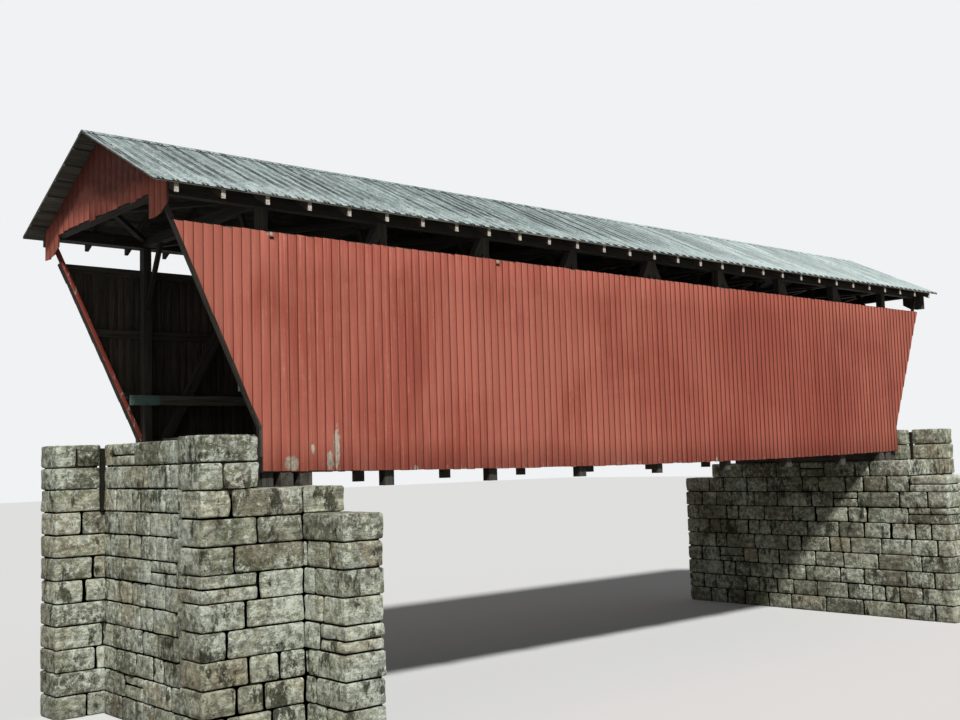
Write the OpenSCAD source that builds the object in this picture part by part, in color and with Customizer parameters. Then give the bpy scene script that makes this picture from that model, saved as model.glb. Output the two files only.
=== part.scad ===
// Timber covered bridge on two stone abutments, in millimetres.
// X runs along the roadway, Y across it and Z up. The origin is on the ground under the middle of the span.
// Left is -X, right is +X, near is -Y and far is +Y.

/* [Trusses] */
// Number of truss panels between the two end posts
panel_count = 8; // [6:2:10]
// Length of one truss panel
panel_len = 2480; // [2000:10:3000]
// Distance from the middle of the road to the middle of each truss
truss_y = 2215; // [1700:5:2700]
// Thickness of the posts, braces and top chords, across the road
truss_thk = 180; // [140:10:260]
// Depth of the two timbers that make each bottom chord
bottom_chord_h = 260; // [200:10:360]
// Thickness of the inner timber of each bottom chord (the outer one is as thick as the girts)
chord_side_t = 80; // [60:5:110]
// Depth of the top chords
top_chord_h = 200; // [150:10:260]
// Width of the truss posts between their shoulders, along the bridge
post_w = 160; // [130:5:200]
// Depth of the shoulders that the braces bear on
shoulder_d = 45; // [25:5:70]
// How far the feet of the posts hang below the bottom chords
post_foot = 300; // [120:10:400]
// Width of the slanting truss braces
brace_w = 160; // [120:5:200]
// Height of a brace's centre line over the chord's underside at its foot, and under the top chord at its head
brace_seat = 120; // [100:5:180]
// How far the bottom chords and the walls run past the middle of the end posts
end_margin = 130; // [100:5:200]
// Clear height between the bottom chord and the top chord
truss_clear_h = 4170; // [3400:10:5000]

/* [Floor] */
// Depth of the floor beams that lie on the bottom chords
floor_beam_h = 200; // [150:10:260]
// Width of the floor beams
floor_beam_w = 200; // [150:10:240]
// Distance from the middle of a post to the floor beam on each side of it
floor_beam_off = 620; // [540:10:700]
// How far the ends of the floor beams stop short of the siding boards
floor_beam_inset = 10; // [5:5:40]
// Depth of the stringers
stringer_h = 100; // [80:10:160]
// Width of the stringers
stringer_w = 110; // [80:10:160]
// Number of stringers
stringer_count = 7; // [5:1:9]
// Thickness of the deck planks
deck_thk = 70; // [50:5:100]
// Clearance between the deck planks and the truss posts
deck_gap = 15; // [5:5:40]
// Thickness of the runner planks that the wheels use
runner_thk = 45; // [30:5:70]
// Width of each of the two runner strips
runner_w = 820; // [600:20:1000]
// Distance between the middles of the two runner strips
runner_track = 1640; // [1400:20:1900]
// Height of the guard rail's lower edge over the deck
rail_z = 715; // [500:5:1000]
// Width of the guard rail planks
rail_h = 190; // [120:10:260]
// Thickness of the guard rail planks
rail_thk = 50; // [35:5:80]
// How far the guard rails run past the end posts
rail_past = 380; // [200:20:600]

/* [Walls] */
// Height of the open strip between the head of the siding and the top chords
strip_h = 420; // [200:10:700]
// Height of the siding's lower corners over the underside of the bottom chords
siding_lift = 20; // [0:5:60]
// How far the siding's lower edge bows down at the middle of the bridge
siding_bow = 120; // [0:10:180]
// Thickness of the siding boards
board_thk = 30; // [20:2:40]
// Thickness of the nailing girts behind the siding
girt_thk = 80; // [50:5:110]
// Width of the nailing girts
girt_h = 150; // [100:10:200]
// Number of girts between the bottom chord and the head of the siding
girt_count = 3; // [2:1:4]
// Clearance between the ends of the girts and the slanting nailers
girt_gap = 5; // [2:1:10]
// Height over the siding's lower edge at which its ends start to lean outwards
flare_z = 680; // [620:10:900]
// How far the siding's ends lean out at the top
flare_len = 1540; // [1000:20:1700]
// Width of the slanting portal struts, level
strut_w = 90; // [70:5:160]
// Thickness of the portal struts, across the bridge
strut_thk = 60; // [50:5:120]
// Width of the slanting nailer behind each leaning end of the siding
nailer_w = 110; // [80:10:160]

/* [Roof] */
// Slope of the roof, in degrees
roof_pitch = 26.5; // [22:0.5:34]
// How far the roof reaches past the middle of the truss, level
eave_reach = 595; // [450:5:800]
// How far the roof runs past the middle of the end rafters
rake_reach = 400; // [250:10:600]
// Distance from the line of the leaning wall end, at the top chord, back to the middle of the end rafters
rafter_inset = 85; // [60:5:200]
// Number of rafter pairs
rafter_count = 30; // [20:1:36]
// Width of the rafters
rafter_w = 75; // [45:5:100]
// Depth of the rafters, square to the slope
rafter_h = 140; // [110:5:180]
// Depth of the seat that each rafter has over the top chord
rafter_notch = 45; // [20:5:60]
// How far the rafters' tails stop short of the eave, level
tail_inset = 70; // [30:10:200]
// Number of roof boards on each slope
roof_board_count = 7; // [5:1:10]
// Gap between the roof boards, level
roof_board_gap = 40; // [10:5:120]
// How far the sheets reach past the lowest roof board, level
sheet_past = 25; // [10:5:60]
// Thickness of the roof boards
roof_board_thk = 25; // [20:1:35]
// Depth of the corrugated sheets
sheet_h = 20; // [16:1:25]
// Width of each wing of the ridge cap
cap_w = 170; // [100:10:250]
// Thickness of the ridge cap
cap_thk = 5; // [3:1:8]

/* [Portals] */
// Height of the gable boards' lower edge over the underside of the top chords
gable_lift = 58; // [20:2:100]
// How far the ears at the two sides of the gable hang below it
ear_drop = 414; // [200:10:500]
// Width of each ear
ear_w = 640; // [400:10:800]
// How far the ears reach past the outside of the siding
ear_past = 132; // [60:2:200]
// Width of the ear's sloping corner
ear_cut_w = 280; // [100:10:350]
// Height of the ear's sloping corner
ear_cut_h = 170; // [50:10:190]
// Thickness of the gable boards
gable_thk = 30; // [20:2:40]
// Width of the portal headers, along the bridge
header_w = 160; // [120:10:220]

/* [Overhead] */
// Width of the tie beams
tie_w = 160; // [120:10:200]
// Depth of the tie beams
tie_h = 180; // [120:10:195]
// Distance that the knee braces reach in along the tie beams
knee_reach = 640; // [400:20:900]
// Distance that the knee braces reach down the posts
knee_drop = 1240; // [800:20:1500]
// Depth of the knee braces, square to their length
knee_h = 100; // [80:5:130]
// Thickness of the knee braces, along the bridge
knee_w = 70; // [50:5:110]
// Width of the lateral braces between the tie beams
lateral_w = 100; // [70:10:140]
// Clearance between two lateral braces where they cross
lateral_gap = 4; // [2:1:10]

/* [Abutments] */
// Height of the bridge seat over the ground
seat_z = 4200; // [2500:20:5000]
// Depth of one course of stone
course_h = 420; // [300:10:500]
// Distance that the breast wall's face stands in from the end of the bridge
breast_in = 1050; // [800:10:1400]
// Distance between the end of the bridge and the back wall
back_gap = 50; // [20:5:100]
// Thickness of the back wall
back_wall_t = 600; // [400:20:900]
// Courses of stone in the back wall above the seat
back_courses = 2; // [1:1:2]
// Distance between the outside of the walls and the wing walls
wing_gap = 35; // [0:5:300]
// Thickness of the return walls beside the road
return_t = 800; // [500:20:1000]
// How far the return walls run past the back wall
return_past = 900; // [400:20:1600]
// How far the wing walls stand out past the return walls
wing_out = 1050; // [400:10:1400]
// Courses by which the head of the wing walls is lower than the bridge seat
wing_drop_courses = 1; // [1:1:3]
// Thickness of the wing walls
wing_t = 800; // [500:20:1000]
// Height of the bed timbers on the seat
sill_h = 240; // [160:10:320]
// Width of the bed timbers
sill_w = 240; // [180:10:260]
// Distances from the breast wall's face to the middle of the two bed timbers
sill_places = [210, 580]; // [130:10:700]

/* [Hidden] */
half_span = panel_count * panel_len / 2;
end_x = half_span + end_margin;

// Heights, worked up from the ground
chord_z = seat_z + sill_h;
chord_top_z = chord_z + bottom_chord_h;
stringer_z = chord_top_z + floor_beam_h;
stringer_top_z = stringer_z + stringer_h;
deck_z = stringer_top_z + deck_thk;
plate_z = chord_top_z + truss_clear_h;
plate_top_z = plate_z + top_chord_h;
tie_z = plate_top_z - tie_h;
lateral_h = (tie_h - lateral_gap) / 2;
siding_z = chord_z + siding_lift;
siding_top_z = plate_z - strip_h;
back_top_z = seat_z + back_courses * course_h;

// Widths, worked out from the middle of the road
truss_in = truss_y - truss_thk / 2;
truss_out = truss_y + truss_thk / 2;
girt_out = truss_out + girt_thk;
wall_out = girt_out + board_thk;
ear_y = wall_out + ear_past;
eave_y = truss_y + eave_reach;

// Leaning ends of the walls
flare_slope = flare_len / (siding_top_z - siding_z - flare_z);
function lean_x(z) = end_x + (z - siding_z - flare_z) * flare_slope;

// Roof: the top of the rafters passes over the outer edge of the top chord at rafter_seat_z
roof_rise = tan(roof_pitch);
rafter_plumb = rafter_h / cos(roof_pitch);
rafter_seat_z = plate_top_z - rafter_notch + rafter_plumb;
rafter_ridge_z = rafter_seat_z + truss_out * roof_rise;
board_plumb = roof_board_thk / cos(roof_pitch);
sheet_plumb = sheet_h / cos(roof_pitch);
cap_plumb = cap_thk / cos(roof_pitch);
// Half the gap between the topmost roof boards of the two slopes
ridge_gap = 2;
end_rafter_x = lean_x(plate_z) - rafter_inset;
roof_end_x = end_rafter_x + rake_reach;
rafter_step = 2 * end_rafter_x / (rafter_count - 1);
plate_end_x = end_rafter_x + rafter_w / 2;
header_x = plate_end_x - header_w;

// Truss braces: the slope of a brace, the plumb half width of a brace and the heights of its centre line
brace_run = panel_len - post_w;
brace_foot_z = chord_z + brace_seat;
brace_head_z = plate_z - brace_seat;
brace_angle = atan2(brace_head_z - brace_foot_z, brace_run);
brace_half = brace_w / 2 / cos(brace_angle);
shoulder_rise = shoulder_d / tan(brace_angle);
shoulder_top_z = brace_foot_z + brace_half;
shoulder_low_z = brace_head_z - brace_half;

// Stone
breast_x = end_x - breast_in;
back_x = end_x + back_gap;
back_end_x = back_x + back_wall_t;
wing_y = wall_out + wing_gap;

// A box from its lowest corner to its highest corner
module block(low, high) {
    translate(low) cube(high - low);
}

// Turns a far side piece to the near side, and a right end piece to the left end
module near_side() {
    mirror([0, 1, 0]) children();
}
module left_end() {
    mirror([1, 0, 0]) children();
}

// Stands an outline drawn in X and Z upright, from y0 to y1
module upright(y0, y1) {
    translate([0, y1, 0]) rotate([90, 0, 0]) linear_extrude(y1 - y0) children();
}

// Stands an outline drawn in Y and Z upright across the road, from x0 to x1
module across(x0, x1) {
    translate([x0, 0, 0]) rotate([90, 0, 90]) linear_extrude(x1 - x0) children();
}

// Stone abutments, drawn for the right end
module breast_wall() {
    color("#a39a82") block([breast_x, -wing_y, 0], [back_x, wing_y, seat_z]);
}
module back_wall() {
    color("#a39a82") block([back_x, -wing_y, 0], [back_end_x, wing_y, back_top_z]);
}
// One wing wall with its return along the road, bonded at the corner. The return's head is at the seat beside
// the bridge and at road level past the back wall, and the wing's head is lower
module wing() {
    return_y = wing_y + return_t;
    head_z = seat_z - wing_drop_courses * course_h;
    color("#a39a82") union() {
        block([breast_x, wing_y, 0], [back_end_x + return_past, return_y, seat_z]);
        block([back_end_x, wing_y, 0], [back_end_x + return_past, return_y, back_top_z]);
        block([breast_x, wing_y, 0], [breast_x + wing_t, return_y + wing_out, head_z]);
    }
}

// Bed timbers on the bridge seat, under both chords
module bed_timbers() {
    color("#5b5145") for (place = sill_places)
        block([breast_x + place - sill_w / 2, -girt_out, seat_z],
              [breast_x + place + sill_w / 2, girt_out, chord_z]);
}

// Trusses, drawn for the far side. A bottom chord is two timbers with the posts between them
module bottom_chord() {
    color("#4a4138") for (y = [truss_in - chord_side_t, truss_out])
        block([-end_x, y, chord_z], [end_x, y + (y < truss_y ? chord_side_t : girt_thk), chord_top_z]);
}
module top_chord() {
    color("#4a4138") block([-plate_end_x, truss_in, plate_z], [plate_end_x, truss_out, plate_top_z]);
}
function post_x(i) = -half_span + i * panel_len;
// Outline of a post of the left half. Its foot widens towards the middle and its head towards the end, each
// to a shoulder that is square to the brace. The end post has a plain head and stands on the bridge seat
module post_outline(i) {
    left = post_x(i) - post_w / 2;
    right = post_x(i) + post_w / 2;
    foot_z = i == 0 ? seat_z : chord_z - post_foot;
    head = i == 0 ? [[left, plate_z]] : [
        [left - shoulder_d, plate_z], [left - shoulder_d, shoulder_low_z + shoulder_rise],
        [left, shoulder_low_z]
    ];
    polygon(concat([
        [left, foot_z], [right + shoulder_d, foot_z], [right + shoulder_d, shoulder_top_z - shoulder_rise],
        [right, shoulder_top_z], [right, plate_z]
    ], head));
}
// The middle post carries a brace on both sides of its head
module middle_post_outline() {
    half = post_w / 2;
    wide = half + shoulder_d;
    foot_z = chord_z - post_foot;
    face_z = shoulder_low_z + shoulder_rise;
    polygon([
        [-half, foot_z], [half, foot_z], [half, shoulder_low_z], [wide, face_z], [wide, plate_z],
        [-wide, plate_z], [-wide, face_z], [-half, shoulder_low_z]
    ]);
}
module truss_posts() {
    color("#574d42") upright(truss_in, truss_out) {
        for (i = [0 : panel_count / 2 - 1]) {
            post_outline(i);
            mirror([1, 0]) post_outline(i);
        }
        middle_post_outline();
    }
}
// Each brace rises from the foot of the outer post to the head of the next post towards the middle, and its
// ends are cut to the shoulders and sides of both posts
module brace_outline(i) {
    foot_x = post_x(i) + post_w / 2;
    head_x = foot_x + brace_run;
    side_rise = shoulder_d * tan(brace_angle);
    polygon([
        [foot_x, shoulder_top_z], [foot_x + shoulder_d, shoulder_top_z - shoulder_rise],
        [foot_x + shoulder_d, brace_foot_z + side_rise - brace_half], [head_x, shoulder_low_z],
        [head_x - shoulder_d, shoulder_low_z + shoulder_rise],
        [head_x - shoulder_d, brace_head_z - side_rise + brace_half]
    ]);
}
module truss_braces() {
    color("#574d42") upright(truss_in, truss_out) for (i = [0 : panel_count / 2 - 1]) {
        brace_outline(i);
        mirror([1, 0]) brace_outline(i);
    }
}
// Slanting strut behind the leaning end of the wall, from the side of the end post to the overhanging end of
// the top chord
module strut_outline() {
    post_side = half_span + post_w / 2;
    difference() {
        polygon([
            [lean_x(chord_top_z) - strut_w, chord_top_z], [lean_x(chord_top_z), chord_top_z],
            [lean_x(plate_z), plate_z], [lean_x(plate_z) - strut_w, plate_z]
        ]);
        translate([0, chord_z]) square([post_side, plate_z]);
        translate([plate_end_x, chord_z]) square([header_w, plate_z]);
    }
}
module portal_struts() {
    color("#574d42") upright(truss_out - strut_thk, truss_out) {
        strut_outline();
        mirror([1, 0]) strut_outline();
    }
}

// Floor. The beams lie on the bottom chords beside the posts, and the last one at each end lies between the
// trusses
module floor_beam(x, half_len) {
    block([x - floor_beam_w / 2, -half_len, chord_top_z], [x + floor_beam_w / 2, half_len, stringer_z]);
}
module floor_beams() {
    color("#4a4138") {
        for (i = [0 : panel_count - 1], x = [post_x(i) + floor_beam_off, post_x(i + 1) - floor_beam_off])
            floor_beam(x, girt_out - floor_beam_inset);
        for (side = [-1, 1]) floor_beam(side * (end_x - floor_beam_w / 2), truss_in - deck_gap);
    }
}
module floor_stringers() {
    room = 2 * (truss_in - deck_gap) - stringer_w;
    color("#5b5145") for (i = [0 : stringer_count - 1]) {
        y = -room / 2 + i * room / (stringer_count - 1);
        block([-end_x, y - stringer_w / 2, stringer_z], [end_x, y + stringer_w / 2, stringer_top_z]);
    }
}
module deck_planks() {
    deck_y = truss_in - deck_gap;
    color("#6d6456") block([-end_x, -deck_y, stringer_top_z], [end_x, deck_y, deck_z]);
}
module runner_planks() {
    color("#7a7061") for (side = [-1, 1])
        block([-end_x, side * runner_track / 2 - runner_w / 2, deck_z],
              [end_x, side * runner_track / 2 + runner_w / 2, deck_z + runner_thk]);
}
module guard_rail() {
    rail_x = half_span + rail_past;
    color("#6b6257") block([-rail_x, truss_in - rail_thk, deck_z + rail_z],
                           [rail_x, truss_in, deck_z + rail_z + rail_h]);
}

// Overhead timbers
module tie_beams() {
    color("#4f463c") for (i = [0 : panel_count])
        block([post_x(i) - tie_w / 2, -truss_in, tie_z], [post_x(i) + tie_w / 2, truss_in, plate_top_z]);
}
// Outline of a knee brace in Y and Z between a post and the underside of a tie beam
module knee_outline() {
    angle = atan2(knee_drop, knee_reach);
    polygon([
        [truss_in, tie_z - knee_drop], [truss_in, tie_z - knee_drop + knee_h / cos(angle)],
        [truss_in - knee_reach + knee_h / sin(angle), tie_z], [truss_in - knee_reach, tie_z]
    ]);
}
module knee_braces() {
    color("#4f463c") for (i = [0 : panel_count])
        across(post_x(i) - knee_w / 2, post_x(i) + knee_w / 2) knee_outline();
}
// Level brace from corner to corner of a bay, rising with Y where the angle is positive
module level_brace(x, y, run, width, angle, low) {
    translate([0, 0, low]) linear_extrude(lateral_h) intersection() {
        translate([x, y]) square([run, width]);
        translate([x + run / 2, y + width / 2]) rotate(angle) square([2 * width, lateral_w], center = true);
    }
}
// Two lateral braces cross between two tie beams, one passing over the other
module lateral_pair(i) {
    run = panel_len - tie_w;
    angle = atan2(2 * truss_in, run);
    x = post_x(i) + tie_w / 2;
    level_brace(x, -truss_in, run, 2 * truss_in, angle, plate_top_z - lateral_h);
    level_brace(x, -truss_in, run, 2 * truss_in, -angle, tie_z);
}
// At each portal a brace runs from the middle of the header to the head of each end post
module portal_laterals() {
    x = half_span + tie_w / 2;
    run = header_x - x;
    level_brace(x, 0, run, truss_in, -atan2(truss_in, run), plate_top_z - lateral_h);
    mirror([1, 0, 0]) level_brace(x, 0, run, truss_in, -atan2(truss_in, run), plate_top_z - lateral_h);
}
module upper_lateral_braces() {
    color("#4f463c") {
        for (i = [0 : panel_count - 1]) lateral_pair(i);
        portal_laterals();
        near_side() portal_laterals();
    }
}
module portal_header() {
    color("#4f463c") block([header_x, -truss_in, tie_z], [plate_end_x, truss_in, plate_top_z]);
}

// Roof, drawn for the far slope. A layer lies between two heights over the tops of the rafters, plumb
module slope_outline(y0, y1, low, high) {
    polygon([
        [y0, rafter_ridge_z - y0 * roof_rise + low], [y1, rafter_ridge_z - y1 * roof_rise + low],
        [y1, rafter_ridge_z - y1 * roof_rise + high], [y0, rafter_ridge_z - y0 * roof_rise + high]
    ]);
}
module rafter_outline() {
    difference() {
        slope_outline(0, eave_y - tail_inset, -rafter_plumb, 0);
        translate([truss_in - truss_thk, plate_top_z - truss_thk]) square([2 * truss_thk, truss_thk]);
    }
}
module rafters() {
    color("#c8bda6") for (i = [0 : rafter_count - 1]) {
        x = -end_rafter_x + i * rafter_step;
        across(x - rafter_w / 2, x + rafter_w / 2) rafter_outline();
    }
}
module roof_boards() {
    step = (eave_y - sheet_past + roof_board_gap) / roof_board_count;
    color("#6d6456") across(-roof_end_x, roof_end_x) for (i = [0 : roof_board_count - 1])
        slope_outline(i * step + ridge_gap, (i + 1) * step - roof_board_gap, 0, board_plumb);
}
module roof_sheets() {
    color("#aeb8b0") across(-roof_end_x, roof_end_x)
        slope_outline(0, eave_y, board_plumb, board_plumb + sheet_plumb);
}
module ridge_cap() {
    low = board_plumb + sheet_plumb;
    color("#9aa59e") across(-roof_end_x, roof_end_x) {
        slope_outline(0, cap_w, low, low + cap_plumb);
        mirror([1, 0]) slope_outline(0, cap_w, low, low + cap_plumb);
    }
}

// Walls, drawn for the far side. The lower edge is a parabola from corner to corner
module wall_outline() {
    bow_steps = 16;
    bow = [for (k = [0 : bow_steps]) let (u = 2 * k / bow_steps - 1)
        [u * end_x, siding_z - siding_bow * (1 - u * u)]];
    polygon(concat(bow, [
        [end_x, siding_z + flare_z], [lean_x(siding_top_z), siding_top_z],
        [-lean_x(siding_top_z), siding_top_z], [-end_x, siding_z + flare_z]
    ]));
}
module siding() {
    color("#a8443a") upright(girt_out, wall_out) wall_outline();
}
// Half width of the wall at a height, above the foot of its leaning ends
function wall_end(z) = z < siding_z + flare_z ? end_x : lean_x(z);
// Nailer along the right end of the wall, from the bottom chord to the head of the siding
module nailer_outline() {
    bend_z = siding_z + flare_z;
    polygon([
        [end_x - nailer_w, chord_top_z], [end_x, chord_top_z], [end_x, bend_z],
        [lean_x(siding_top_z), siding_top_z], [lean_x(siding_top_z) - nailer_w, siding_top_z],
        [end_x - nailer_w, bend_z]
    ]);
}
module girt_outline(i) {
    step = (siding_top_z - girt_h - chord_top_z) / girt_count;
    low = chord_top_z + (i + 1) * step;
    inset = nailer_w + girt_gap;
    polygon([
        [-wall_end(low) + inset, low], [wall_end(low) - inset, low],
        [wall_end(low + girt_h) - inset, low + girt_h], [-wall_end(low + girt_h) + inset, low + girt_h]
    ]);
}
module siding_frame() {
    color("#7d5a4c") upright(truss_out, girt_out) {
        for (i = [0 : girt_count - 1]) girt_outline(i);
        nailer_outline();
        mirror([1, 0]) nailer_outline();
    }
}

// Gable boards of the right portal, with an ear at each side whose corner is cut on its +Y side
module gable_outline() {
    low = plate_z + gable_lift;
    ear_low = low - ear_drop;
    ear_in = ear_y - ear_w;
    head_z = rafter_ridge_z;
    eave_head = head_z - ear_y * roof_rise;
    polygon([
        [-ear_y, ear_low], [-ear_in - ear_cut_w, ear_low], [-ear_in, ear_low + ear_cut_h], [-ear_in, low],
        [ear_in, low], [ear_in, ear_low], [ear_y - ear_cut_w, ear_low], [ear_y, ear_low + ear_cut_h],
        [ear_y, eave_head], [0, head_z], [-ear_y, eave_head]
    ]);
}
module gable_boards() {
    color("#9c3f36") across(plate_end_x, plate_end_x + gable_thk) gable_outline();
}

left_end() breast_wall();  // left_breast_wall
left_end() back_wall();  // left_back_wall
left_end() near_side() wing();  // left_near_wing
left_end() wing();  // left_far_wing
breast_wall();  // right_breast_wall
back_wall();  // right_back_wall
near_side() wing();  // right_near_wing
wing();  // right_far_wing
left_end() bed_timbers();  // left_bed_timbers
bed_timbers();  // right_bed_timbers
near_side() bottom_chord();  // near_bottom_chord
bottom_chord();  // far_bottom_chord
near_side() top_chord();  // near_top_chord
top_chord();  // far_top_chord
near_side() truss_posts();  // near_truss_posts
truss_posts();  // far_truss_posts
near_side() truss_braces();  // near_truss_braces
truss_braces();  // far_truss_braces
near_side() portal_struts();  // near_portal_struts
portal_struts();  // far_portal_struts
floor_beams();
floor_stringers();
deck_planks();
runner_planks();
near_side() guard_rail();  // near_guard_rail
guard_rail();  // far_guard_rail
tie_beams();
near_side() knee_braces();  // near_knee_braces
knee_braces();  // far_knee_braces
upper_lateral_braces();
left_end() portal_header();  // left_portal_header
portal_header();  // right_portal_header
near_side() rafters();  // near_rafters
rafters();  // far_rafters
near_side() roof_boards();  // near_roof_boards
roof_boards();  // far_roof_boards
near_side() roof_sheets();  // near_roof_sheets
roof_sheets();  // far_roof_sheets
ridge_cap();
near_side() siding_frame();  // near_siding_frame
siding_frame();  // far_siding_frame
near_side() siding();  // near_siding
siding();  // far_siding
rotate([0, 0, 180]) gable_boards();  // left_gable_boards
gable_boards();  // right_gable_boards
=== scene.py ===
# %% [markdown]
# # A red timber covered bridge
#
# This lesson builds the looks of a covered bridge around a CAD frame. The frame is the packed model: posts,
# braces, chords, rafters and walls at their real sizes, in metres. X runs along the bridge, Y across it and
# Z up. Sound timbers from the frame stay and only get a finish. What is made of many small things on the
# real bridge, such as wall boards, deck planks, roof sheets and stones, is built here and takes the place
# of a plain solid.

# %% Load the frame
import math
import random

import bpy
import numpy as np
from mathutils import Matrix, Vector


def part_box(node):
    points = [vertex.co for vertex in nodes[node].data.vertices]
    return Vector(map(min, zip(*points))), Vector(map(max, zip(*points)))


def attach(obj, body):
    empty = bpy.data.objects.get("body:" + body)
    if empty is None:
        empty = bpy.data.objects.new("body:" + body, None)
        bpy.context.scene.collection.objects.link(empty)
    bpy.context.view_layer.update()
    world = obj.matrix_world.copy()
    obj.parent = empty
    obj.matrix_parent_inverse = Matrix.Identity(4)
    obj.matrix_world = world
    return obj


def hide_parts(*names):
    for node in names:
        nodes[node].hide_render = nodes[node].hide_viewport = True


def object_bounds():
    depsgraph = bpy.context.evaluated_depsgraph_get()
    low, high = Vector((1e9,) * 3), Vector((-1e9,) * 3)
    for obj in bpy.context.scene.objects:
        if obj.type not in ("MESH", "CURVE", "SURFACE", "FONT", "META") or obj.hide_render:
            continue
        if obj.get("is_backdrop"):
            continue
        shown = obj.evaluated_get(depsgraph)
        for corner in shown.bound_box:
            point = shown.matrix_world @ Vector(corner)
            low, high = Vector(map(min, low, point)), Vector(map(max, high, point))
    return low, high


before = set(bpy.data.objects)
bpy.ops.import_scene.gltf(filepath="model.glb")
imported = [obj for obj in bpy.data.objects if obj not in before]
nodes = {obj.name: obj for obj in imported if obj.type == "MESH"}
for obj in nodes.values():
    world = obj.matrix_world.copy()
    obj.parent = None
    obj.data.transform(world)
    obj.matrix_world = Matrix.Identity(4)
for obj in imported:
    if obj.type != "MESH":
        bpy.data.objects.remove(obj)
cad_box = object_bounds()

print(len(nodes), "CAD nodes; box", [[round(v, 3) for v in corner] for corner in cad_box])

# A few rules of the shape can't be read off a box, so they are repeated here from the CAD source, such as
# the bow of the walls' lower edge and the roof's slope.

# %% Measure the frame
def reach(node, axis):
    """Lowest and highest value of a CAD node along X, Y or Z (0, 1 or 2)."""
    low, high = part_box(node)
    return low[axis], high[axis]


END_X = 10.05          # half length of the walls at their foot
BEND_UP = 0.68         # height over the lower corner at which the walls' ends start to lean
SIDING_BOW = 0.12      # how far the walls' lower edge bows down at the middle
PANEL = 2.48           # length of one truss panel
PANELS = 8
ROOF_PITCH = math.radians(26.5)
EAR_WIDTH = 0.64       # width of the ears at the sides of the gables
EAR_CUT = (0.28, 0.17)  # width and height of an ear's sloping corner
POST_WIDTH = 0.16
BRACE_RISE = 3.93      # height that a truss brace climbs between two posts
KNEE_RUN, KNEE_RISE = 0.64, 1.24
CAP_THICK = 0.005      # thickness of the ridge cap
ENDS = ((-1, "left"), (1, "right"))
SIDES = ((-1, "near"), (1, "far"))

HALF_SPAN = PANELS * PANEL / 2
WALL_OUT = reach("far_siding", 1)[1]
SIDING_TOP = reach("far_siding", 2)[1]
SIDING_FOOT = reach("far_siding", 2)[0] + SIDING_BOW
BEND_Z = SIDING_FOOT + BEND_UP
TOP_X = reach("far_siding", 0)[1]
LEAN = (TOP_X - END_X) / (SIDING_TOP - BEND_Z)
TRUSS_IN, TRUSS_OUT = reach("far_truss_posts", 1)
DECK_TOP = reach("deck_planks", 2)[1]
DECK_Y = reach("deck_planks", 1)[1]
ROOF_END = reach("far_roof_sheets", 0)[1]
EAVE_Y = reach("far_roof_sheets", 1)[1]
TOP_CHORD_Z = reach("far_top_chord", 2)[0]
GABLE_FACE = reach("right_gable_boards", 0)[1]
PORTAL_ANGLE = math.atan2(TRUSS_IN, reach("upper_lateral_braces", 0)[1] - HALF_SPAN)
print("walls", round(SIDING_FOOT, 3), "to", round(SIDING_TOP, 3), "lean", round(LEAN, 4), "eave", round(EAVE_Y, 3))

# %% [markdown]
# ## Camera
#
# The camera stands where the photo was taken: left of the left portal, a little under the wall's head,
# looking along the near wall. Its place and turn were fitted to corners of the bridge, such as post tops
# and rafter tails.

# %% Set the camera
FOCAL_PIXELS, PICTURE_WIDTH = 1143.28, 960.0
SENSOR = 36.0            # width of the sensor in millimetres
CAMERA_PLACE = (-19.6498, -18.8518, 4.5573)
CAMERA_RIGHT = Vector((0.75441774, -0.65576527, -0.02873646))
CAMERA_UP = Vector((-0.03505704, -0.08397043, 0.99585138))
CAMERA_AHEAD = Vector((0.65545776, 0.75028053, 0.08633797))


def link(obj):
    """Puts an object in the scene."""
    bpy.context.scene.collection.objects.link(obj)
    return obj


camera = link(bpy.data.objects.new("camera", bpy.data.cameras.new("camera")))
camera.data.sensor_width = SENSOR
camera.data.lens = FOCAL_PIXELS * SENSOR / PICTURE_WIDTH
camera.data.clip_end = 500.0
camera_turn = Matrix((CAMERA_RIGHT, CAMERA_UP, -CAMERA_AHEAD)).transposed().to_4x4()
camera.matrix_world = Matrix.Translation(CAMERA_PLACE) @ camera_turn
bpy.context.scene.camera = camera
print("lens", round(camera.data.lens, 2), "mm")

# %% [markdown]
# ## Writing node trees as sums
#
# Materials and geometry nodes are both node trees. Graph adds nodes to either kind, and Value is one output
# of a node that can stand in a sum: writing a + b adds a Math node. So a formula reads as it would on
# paper.

# %% Graph and Value
class Value:
    """One output of a node. Sums with it add Math nodes to its tree."""

    def __init__(self, graph, socket):
        self.graph, self.socket = graph, socket

    def __add__(self, other):
        return self.graph.math("ADD", self, other)

    def __sub__(self, other):
        return self.graph.math("SUBTRACT", self, other)

    def __rsub__(self, other):
        return self.graph.math("SUBTRACT", other, self)

    def __mul__(self, other):
        return self.graph.math("MULTIPLY", self, other)

    def __truediv__(self, other):
        return self.graph.math("DIVIDE", self, other)

    def __gt__(self, other):
        return self.graph.math("GREATER_THAN", self, other)

    def __lt__(self, other):
        return self.graph.math("LESS_THAN", self, other)

    __radd__, __rmul__ = __add__, __mul__


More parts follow.
